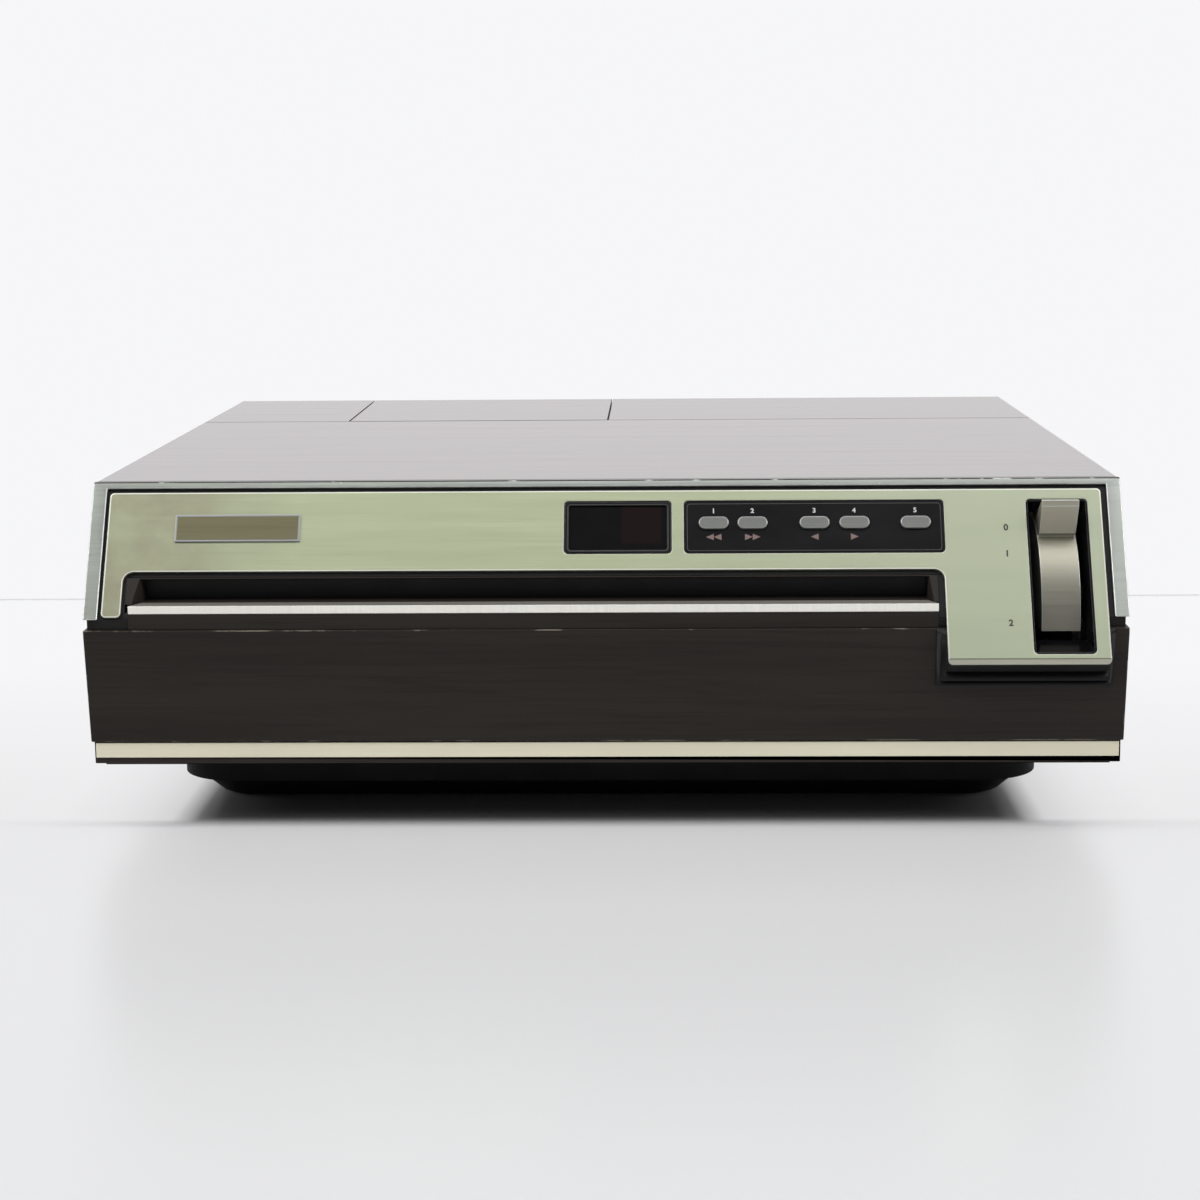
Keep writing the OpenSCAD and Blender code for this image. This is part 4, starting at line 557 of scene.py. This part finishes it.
def smooth_by_angle(mesh):
    """Shades a mesh smooth, up to its sharp edges."""
    for polygon in mesh.polygons:
        polygon.use_smooth = True
    mesh.set_sharp_from_angle(angle=SHARP)


def weigh_normals(piece):
    """Lets the broad faces set the normals, so that they shade flat up to their rounded edges."""
    weigh = piece.modifiers.new("weigh", "WEIGHTED_NORMAL")
    weigh.keep_sharp = True
    weigh.weight = 100
    flatten_modifiers(piece)


def mark_border(work):
    """Draws the bright line along the faceplate's outer edge, as faces of their own."""
    out = PANEL.to_3x3() @ Vector((0, 0, 1))
    level = PANEL.translation.dot(out) - 0.25 * MM
    work.normal_update()
    front = [face for face in work.faces
             if face.normal.dot(out) > 0.999 and face.verts[0].co.dot(out) > level]
    made = bmesh.ops.inset_region(work, faces=front, thickness=BORDER, use_even_offset=True,
                                  use_boundary=True)
    for face in made["faces"]:
        middle = face.calc_center_median()
        down = slope_at(middle.z) / MM
        by_lever = well_low.x < middle.x < well_high.x and down < WELL_END + 3 * BORDER_SLACK
        by_window = (window_low.x < middle.x < window_high.x
                     and WINDOW_S[0] - BORDER_SLACK < down < WINDOW_S[1] + BORDER_SLACK)
        face.material_index = 0 if by_lever or by_window else 1


def soften(node, width, segments, edge):
    """Puts a piece with the node's shape and rounded edges in the node's place.

    width is the rounding in millimetres, segments its steps, and edge its material or None."""
    source = nodes[node]
    mesh = bpy.data.meshes.new(node + "_skin")
    piece = add_mesh(node + "_skin", mesh)
    paint(piece, SLOT_OF[node], *([edge] if edge else []))
    work = bmesh.new()
    work.from_mesh(source.data)
    bmesh.ops.remove_doubles(work, verts=work.verts, dist=WELD)
    bmesh.ops.dissolve_limit(work, angle_limit=FLAT, verts=work.verts, edges=work.edges)
    for face in work.faces:
        face.material_index = 0
    if node == "faceplate":
        mark_border(work)
    work.to_mesh(mesh)
    work.free()
    bevel = piece.modifiers.new("bevel", "BEVEL")
    bevel.width = width * MM
    bevel.segments = segments
    bevel.limit_method = "ANGLE"
    bevel.angle_limit = SHARP
    bevel.use_clamp_overlap = True
    bevel.material = 1 if edge else 0
    flatten_modifiers(piece)
    smooth_by_angle(piece.data)
    weigh_normals(piece)
    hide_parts(node)
    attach(piece, source["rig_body"])


BUTTONS = ("rapid_reverse", "rapid_forward", "search_reverse", "search_forward", "pause")

# node: width in millimetres, segments, material of the rounded edges
SOFT_EDGES = {
    # The covers' rounded edges are painted dark, as the shade in their seams
    "top_cover": (0.5, 2, "dark_edge"),
    "rear_top_cover": (0.35, 2, "dark_edge"),
    "stylus_door": (0.35, 2, "dark_edge"),
    "front_frame": (0.45, 2, "frame_edge"),
    "faceplate": (0.7, 2, "bright_edge"),
    "badge_plate": (0.25, 2, "badge_edge"),
    "display_bezel": (0.35, 2, "highlight_edge"),
    "button_bezel": (0.3, 2, "highlight_edge"),
    **{f"{button}_button": (0.5, 3, "button_edge") for button in BUTTONS},
    "lever_bezel": (0.4, 2, "highlight_edge"),
    "function_lever": (0.4, 2, "light_edge"),
    "slot_throat": (0.3, 2, "worn_and_highlit_throat"),
    "trim_bar": (0.3, 2, None),
    "slot_lip": (0.3, 2, None),
    "corner_shroud": (0.5, 2, None),
    "lower_cabinet": (0.5, 2, "worn_and_highlit_brown"),
    "bottom_moulding": (0.4, 2, None),
    "trim_strip": (0.25, 2, None),
    "base_pan": (0.4, 2, None),
    "mid_frame": (0.3, 2, None),
    "caddy_door": (0.25, 2, None),
    "rear_panel": (0.25, 1, None),
    "cord_gland": (0.4, 2, None),
    "cabinet_screws": (0.3, 2, None),
    "rf_modulator": (0.25, 2, None),
    "channel_switch": (0.3, 2, None),
    "rubber_feet": (0.4, 2, None),
}


def dress_nodes():
    """Every CAD node gets its material; those that show also get rounded edges."""
    for node in nodes:
        if node in SOFT_EDGES:
            soften(node, *SOFT_EDGES[node])
        else:
            paint(nodes[node], SLOT_OF[node])


def darken_bar_top():
    """Paints the bright bar's upper face, which lies in the slot's shade, duller."""
    bar = bpy.data.objects["trim_bar_skin"]
    bar.data.materials.append(MATERIALS["bar_top"])
    for polygon in bar.data.polygons:
        if polygon.normal.z > 0.8:
            polygon.material_index = len(bar.data.materials) - 1


# ---------- marks on the sloping front ----------

# All in millimetres; S is down the slope
INK = 0.05  # how far a mark stands out
INSERT_SINK = 0.4  # how far the windows' bezels lie under the faceplate's front
INSERT_INK = -INSERT_SINK + INK
FLANGE = 1.0  # how far a bezel reaches under the faceplate
RIM_INSET = 1.3  # from a window's edge to the grey line inside it
RIM_WIDTH = 0.3
RIM_R = 1.4
BUTTON_X = (46.0, 62.2, 88.0, 104.6, 130.0)
ARROWS = ((-1, 2), (1, 2), (-1, 1), (1, 1))  # which way and how many, at the first four buttons
ARROW_S = 25.8
ARROW_LENGTH = 3.2
ARROW_HALF = 1.4
BUTTON_NUMBER_S = 14.2
BUTTON_TYPE = 2.9  # the size of the numbers' type
LEVER_NUMBER_X = 167.3
LEVER_NUMBER_S = (22.3, 33.9, 64.3)
LEVER_TYPE = 3.8
BOLD = 0.03  # how far the type is thickened, as a share of its size


def place_mark(name, mesh, material):
    """Puts a mark's mesh on the cabinet."""
    piece = add_mesh(name, mesh)
    paint(piece, material)
    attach(piece, "cabinet")


def add_mark(name, points, faces, material):
    """A thin mark on the slope; points are (x, s, d) in millimetres."""
    mesh = bpy.data.meshes.new(name)
    mesh.from_pydata([on_panel(*point) for point in points], [], faces)
    fixed = bmesh.new()
    fixed.from_mesh(mesh)
    bmesh.ops.recalc_face_normals(fixed, faces=fixed.faces)
    fixed.to_mesh(mesh)
    fixed.free()
    place_mark(name, mesh, material)


def panel_sheet(name, outline, d, thickness, material):
    """A flat mark on the slope: its outline in (x, s) millimetres, its front d out of the slope."""
    points = [(x, s, d) for x, s in outline] + [(x, s, d - thickness) for x, s in outline]
    count = len(outline)
    faces = [list(range(count)), list(range(2 * count - 1, count - 1, -1))]
    faces += [[i, i + count, (i + 1) % count + count, (i + 1) % count] for i in range(count)]
    add_mark(name, points, faces, material)


def rounded(x0, x1, s0, s1, r, steps=6):
    """The outline of a rounded rectangle, in (x, s) millimetres."""
    centres = ((x1 - r, s1 - r), (x0 + r, s1 - r), (x0 + r, s0 + r), (x1 - r, s0 + r))
    points = []
    for corner, (x, s) in enumerate(centres):
        for i in range(steps + 1):
            turn = math.radians(90 * (corner + i / steps))
            points.append((x + r * math.cos(turn), s + r * math.sin(turn)))
    return points


def panel_ring(name, box, r, width, d, thickness, material):
    """A thin line round a rounded rectangle; box is (x0, x1, s0, s1) in millimetres."""
    x0, x1, s0, s1 = box
    outer = rounded(x0, x1, s0, s1, r)
    inner = rounded(x0 + width, x1 - width, s0 + width, s1 - width, r - width)
    points = [(x, s, level) for level in (d, d - thickness) for line in (outer, inner) for x, s in line]
    count = len(outer)
    faces = []
    for i in range(count):
        j = (i + 1) % count
        for low, high in ((0, 1), (1, 3), (3, 2), (2, 0)):
            faces.append([low * count + i, low * count + j, high * count + j, high * count + i])
    add_mark(name, points, faces, material)


def make_rims():
    """A fine grey line inside the edge of each window."""
    for node in ("display_bezel", "button_bezel"):
        low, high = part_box(node)
        box = (low.x / MM + FLANGE + RIM_INSET, high.x / MM - FLANGE - RIM_INSET,
               WINDOW_S[0] + RIM_INSET, WINDOW_S[1] - RIM_INSET)
        panel_ring(node + "_rim", box, RIM_R, RIM_WIDTH, INSERT_INK, 2 * INK, "rim_grey")


def make_arrows():
    """Plain triangles under the first four buttons: two for the fast pair, one for the slow pair."""
    for i, (way, count) in enumerate(ARROWS):
        for k in range(count):
            middle = BUTTON_X[i] + (k - (count - 1) / 2) * ARROW_LENGTH
            reach = way * ARROW_LENGTH / 2
            outline = [(middle - reach, ARROW_S - ARROW_HALF), (middle + reach, ARROW_S),
                       (middle - reach, ARROW_S + ARROW_HALF)]
            panel_sheet(f"arrow_{i}_{k}", outline, INSERT_INK, 2 * INK, "arrow_ink")


def make_number(name, text, x, s, d, size, material):
    """A plain number printed on the slope, centred on x and s; size is the type's, in millimetres."""
    curve = bpy.data.curves.new(name, "FONT")
    curve.body = text
    curve.size = size * MM
    curve.align_x = "CENTER"
    curve.align_y = "CENTER"
    curve.extrude = INK * MM
    curve.offset = BOLD * size * MM
    letter = bpy.data.objects.new(name, curve)
    bpy.context.scene.collection.objects.link(letter)
    bpy.context.view_layer.update()
    graph = bpy.context.evaluated_depsgraph_get()
    mesh = bpy.data.meshes.new_from_object(letter.evaluated_get(graph))
    bpy.data.objects.remove(letter)
    mesh.transform(Matrix.Translation(on_panel(x, s, d)) @ PANEL.to_3x3().to_4x4())
    place_mark(name, mesh, material)


def make_numbers():
    """Plain numbers by the lever's three places and over the buttons."""
    for i, s in enumerate(LEVER_NUMBER_S):
        make_number(f"lever_number_{i}", str(i), LEVER_NUMBER_X, s, INK, LEVER_TYPE,
                    "dark_ink")
    for i, x in enumerate(BUTTON_X, 1):
        make_number(f"button_number_{i}", str(i), x, BUTTON_NUMBER_S, INSERT_INK, BUTTON_TYPE,
                    "white_ink")


# ---------- stage and light ----------

TABLE_BACK = 0.369  # where the table ends, as the photograph's line shows
STAGE = 6.0  # how far it reaches to the other sides
BASE_HALF = 0.18  # half the width of the base where it meets the table
BASE_FRONT = -0.165  # the base's shadow ends here in front

# From where to where the table turns white: to the sides, in front and behind
WHITE_SIDES = (0.27, 0.36)
WHITE_FRONT = (-0.56, -0.75)
WHITE_BEHIND = (0.19, 0.29)

PAPER = (0.925, 0.925, 0.94)
ROOM_LEVEL = 0.2
ROOM_SLANT = 0.55  # how much being behind counts, beside being above, in the room's brightness
ROOM_RISE = (0.05, 0.5)  # from where to where the room goes from dim to bright
FRONT_LEVEL = 0.3  # how bright gloss and glass see the room's front, beside its back
ROW_TILT = 0.31  # how far the row of lamps stands in front of the player, as the shadow's edge shows
ROW_SPREAD = 20  # the lamps' width in degrees
ROW = {60: 0.27, 36: 0.18, 12: 0.12}  # the lamps' strengths by their angle from overhead


def washed_out(table, across, behind):
    """Two masks of the table: far from the player, and wherever the camera sees it glow white; beside
    the player that glow is painted light over its shadow.
    """
    # Painted light: beside the player the table glows, hiding the player's shadow there
    near = table.span(across, BASE_HALF - 0.004, BASE_HALF + 0.008, 0.0, 0.7)
    far = table.span(across, BASE_HALF + 0.008, BASE_HALF + 0.06, 0.0, 0.3)
    level = table.span(behind, BASE_FRONT - 0.007, BASE_FRONT + 0.003)
    beside = table.math("MULTIPLY", table.math("ADD", near, far), level)
    away = table.math("MAXIMUM", table.span(across, *WHITE_SIDES), table.span(behind, *WHITE_FRONT))
    around = table.math("MAXIMUM", away, table.span(behind, *WHITE_BEHIND))
    return away, table.math("MAXIMUM", beside, around)


def table_white():
    """The table: pale, faintly glossy, with a painted shadow under the base and a painted shadow line
    at its far edge; white round about, with painted light beside the player.
    """
    white = (0.84, 0.84, 0.85)
    table = Shader("table_white", white, 0.3)
    across = table.math("ABSOLUTE", table.axis("X"))
    behind = table.axis("Y")
    # Painted shadow: a grey line along the table's far edge
    far_edge_shadow = table.span(behind, TABLE_BACK - 0.004, TABLE_BACK - 0.001)
    before_seam = table.span(behind, TABLE_BACK - 0.008, TABLE_BACK - 0.004, 1.0, 0.0)
    # Painted shadow: the table is darkened under the base
    under = table.math("MULTIPLY", table.between(behind, BASE_FRONT + 0.003, -BASE_FRONT, 0.004),
                       table.span(across, BASE_HALF - 0.012, BASE_HALF, 1.0, 0.0))
    shaded = table.mix(under, white, (0.3, 0.3, 0.3))
    table.color(table.mix(far_edge_shadow, shaded, (0.5, 0.5, 0.51)))

    # For the camera the masked table glows paper white: a plain backdrop far off, and painted light
    # beside the player
    away, washed = washed_out(table, across, behind)
    rays = table.tree.nodes.new("ShaderNodeLightPath").outputs["Is Camera Ray"]
    factor = table.math("MULTIPLY", table.math("MULTIPLY", washed, before_seam), rays)
    pale = table.math("MAXIMUM", away, table.span(behind, BASE_FRONT, 0.15))
    glow = table.tree.nodes.new("ShaderNodeEmission")
    table.link(table.mix(pale, (0.83, 0.83, 0.84), PAPER), glow, "Color")
    both = table.tree.nodes.new("ShaderNodeMixShader")
    table.link(factor, both, "Fac")
    table.link(table.bsdf.outputs["BSDF"], both, 1)
    table.link(glow.outputs["Emission"], both, 2)
    table.link(both.outputs["Shader"], table.tree.nodes["Material Output"], "Surface")
    return table.material


def make_stage():
    """Lays a table that ends behind the player, at a thin grey line of painted shadow."""
    mesh = bpy.data.meshes.new("floor")
    corners = [(-STAGE, -STAGE, 0), (STAGE, -STAGE, 0), (STAGE, TABLE_BACK, 0), (-STAGE, TABLE_BACK, 0)]
    mesh.from_pydata([Vector(c) for c in corners], [], [(0, 1, 2, 3)])
    mesh.materials.append(table_white())
    add_mesh("floor", mesh)


def add_sun(name, direction, strength, spread):
    """A distant soft lamp that shines along direction; spread is its width in degrees."""
    data = bpy.data.lights.new(name, "SUN")
    data.energy = strength * math.pi
    data.angle = math.radians(spread)
    lamp = bpy.data.objects.new(name, data)
    lamp.rotation_euler = Vector(direction).to_track_quat("-Z", "Y").to_euler()
    bpy.context.scene.collection.objects.link(lamp)


def make_world():
    """An even pale room; the camera sees its paper, and gloss and glass see it dim in front."""
    world = bpy.data.worlds.new("studio")
    bpy.context.scene.world = world
    world.use_nodes = True
    tree = world.node_tree
    room = tree.nodes["Background"]
    room.inputs["Color"].default_value = (0.97, 0.98, 1.0, 1)
    room.inputs["Strength"].default_value = ROOM_LEVEL

    def node(kind, **values):
        made = tree.nodes.new(kind)
        for key, value in values.items():
            made.inputs[key].default_value = value
        return made

    def link(a, out, b, into):
        tree.links.new(a.outputs[out], b.inputs[into])

    def mixed(factor, out, a, b):
        made = node("ShaderNodeMixShader")
        link(factor, out, made, "Fac")
        for into, shader in ((1, a), (2, b)):
            link(shader, shader.outputs[0].name, made, into)
        return made

    rays = node("ShaderNodeLightPath")
    place = node("ShaderNodeTexCoord")
    split = node("ShaderNodeSeparateXYZ")
    link(place, "Generated", split, "Vector")
    lean = node("ShaderNodeMath")
    lean.operation = "MULTIPLY_ADD"
    link(split, "Y", lean, 0)
    lean.inputs[1].default_value = ROOM_SLANT
    link(split, "Z", lean, 2)
    dim, bright = ROOM_RISE
    level = node("ShaderNodeMapRange",
                 **{"From Min": dim, "From Max": bright, "To Min": FRONT_LEVEL, "To Max": 1.0})
    level.interpolation_type = "SMOOTHSTEP"
    link(lean, "Value", level, "Value")
    mirrored = node("ShaderNodeBackground", Color=(*PAPER, 1))
    link(level, "Result", mirrored, "Strength")
    paper = node("ShaderNodeBackground", Color=(*PAPER, 1), Strength=1.0)
    seen = node("ShaderNodeMath")
    seen.operation = "MAXIMUM"
    link(rays, "Is Glossy Ray", seen, 0)
    link(rays, "Is Transmission Ray", seen, 1)
    for_mirrors = mixed(seen, "Value", room, mirrored)
    for_camera = mixed(rays, "Is Camera Ray", for_mirrors, paper)
    link(for_camera, "Shader", tree.nodes["World Output"], "Surface")


def make_light():
    """Soft studio light: the room, and a row of lamps overhead from the left wall to the right."""
    make_world()
    for angle, strength in ROW.items():
        for side in (-1, 1):
            turn = math.radians(angle * side)
            direction = (math.sin(turn), ROW_TILT, -math.cos(turn))
            add_sun(f"row_lamp_{angle}_{side}", direction, strength, ROW_SPREAD)


make_camera()
dress_nodes()
darken_bar_top()
make_rims()
make_arrows()
make_numbers()
make_stage()
make_light()
bpy.context.scene.view_settings.view_transform = "Standard"
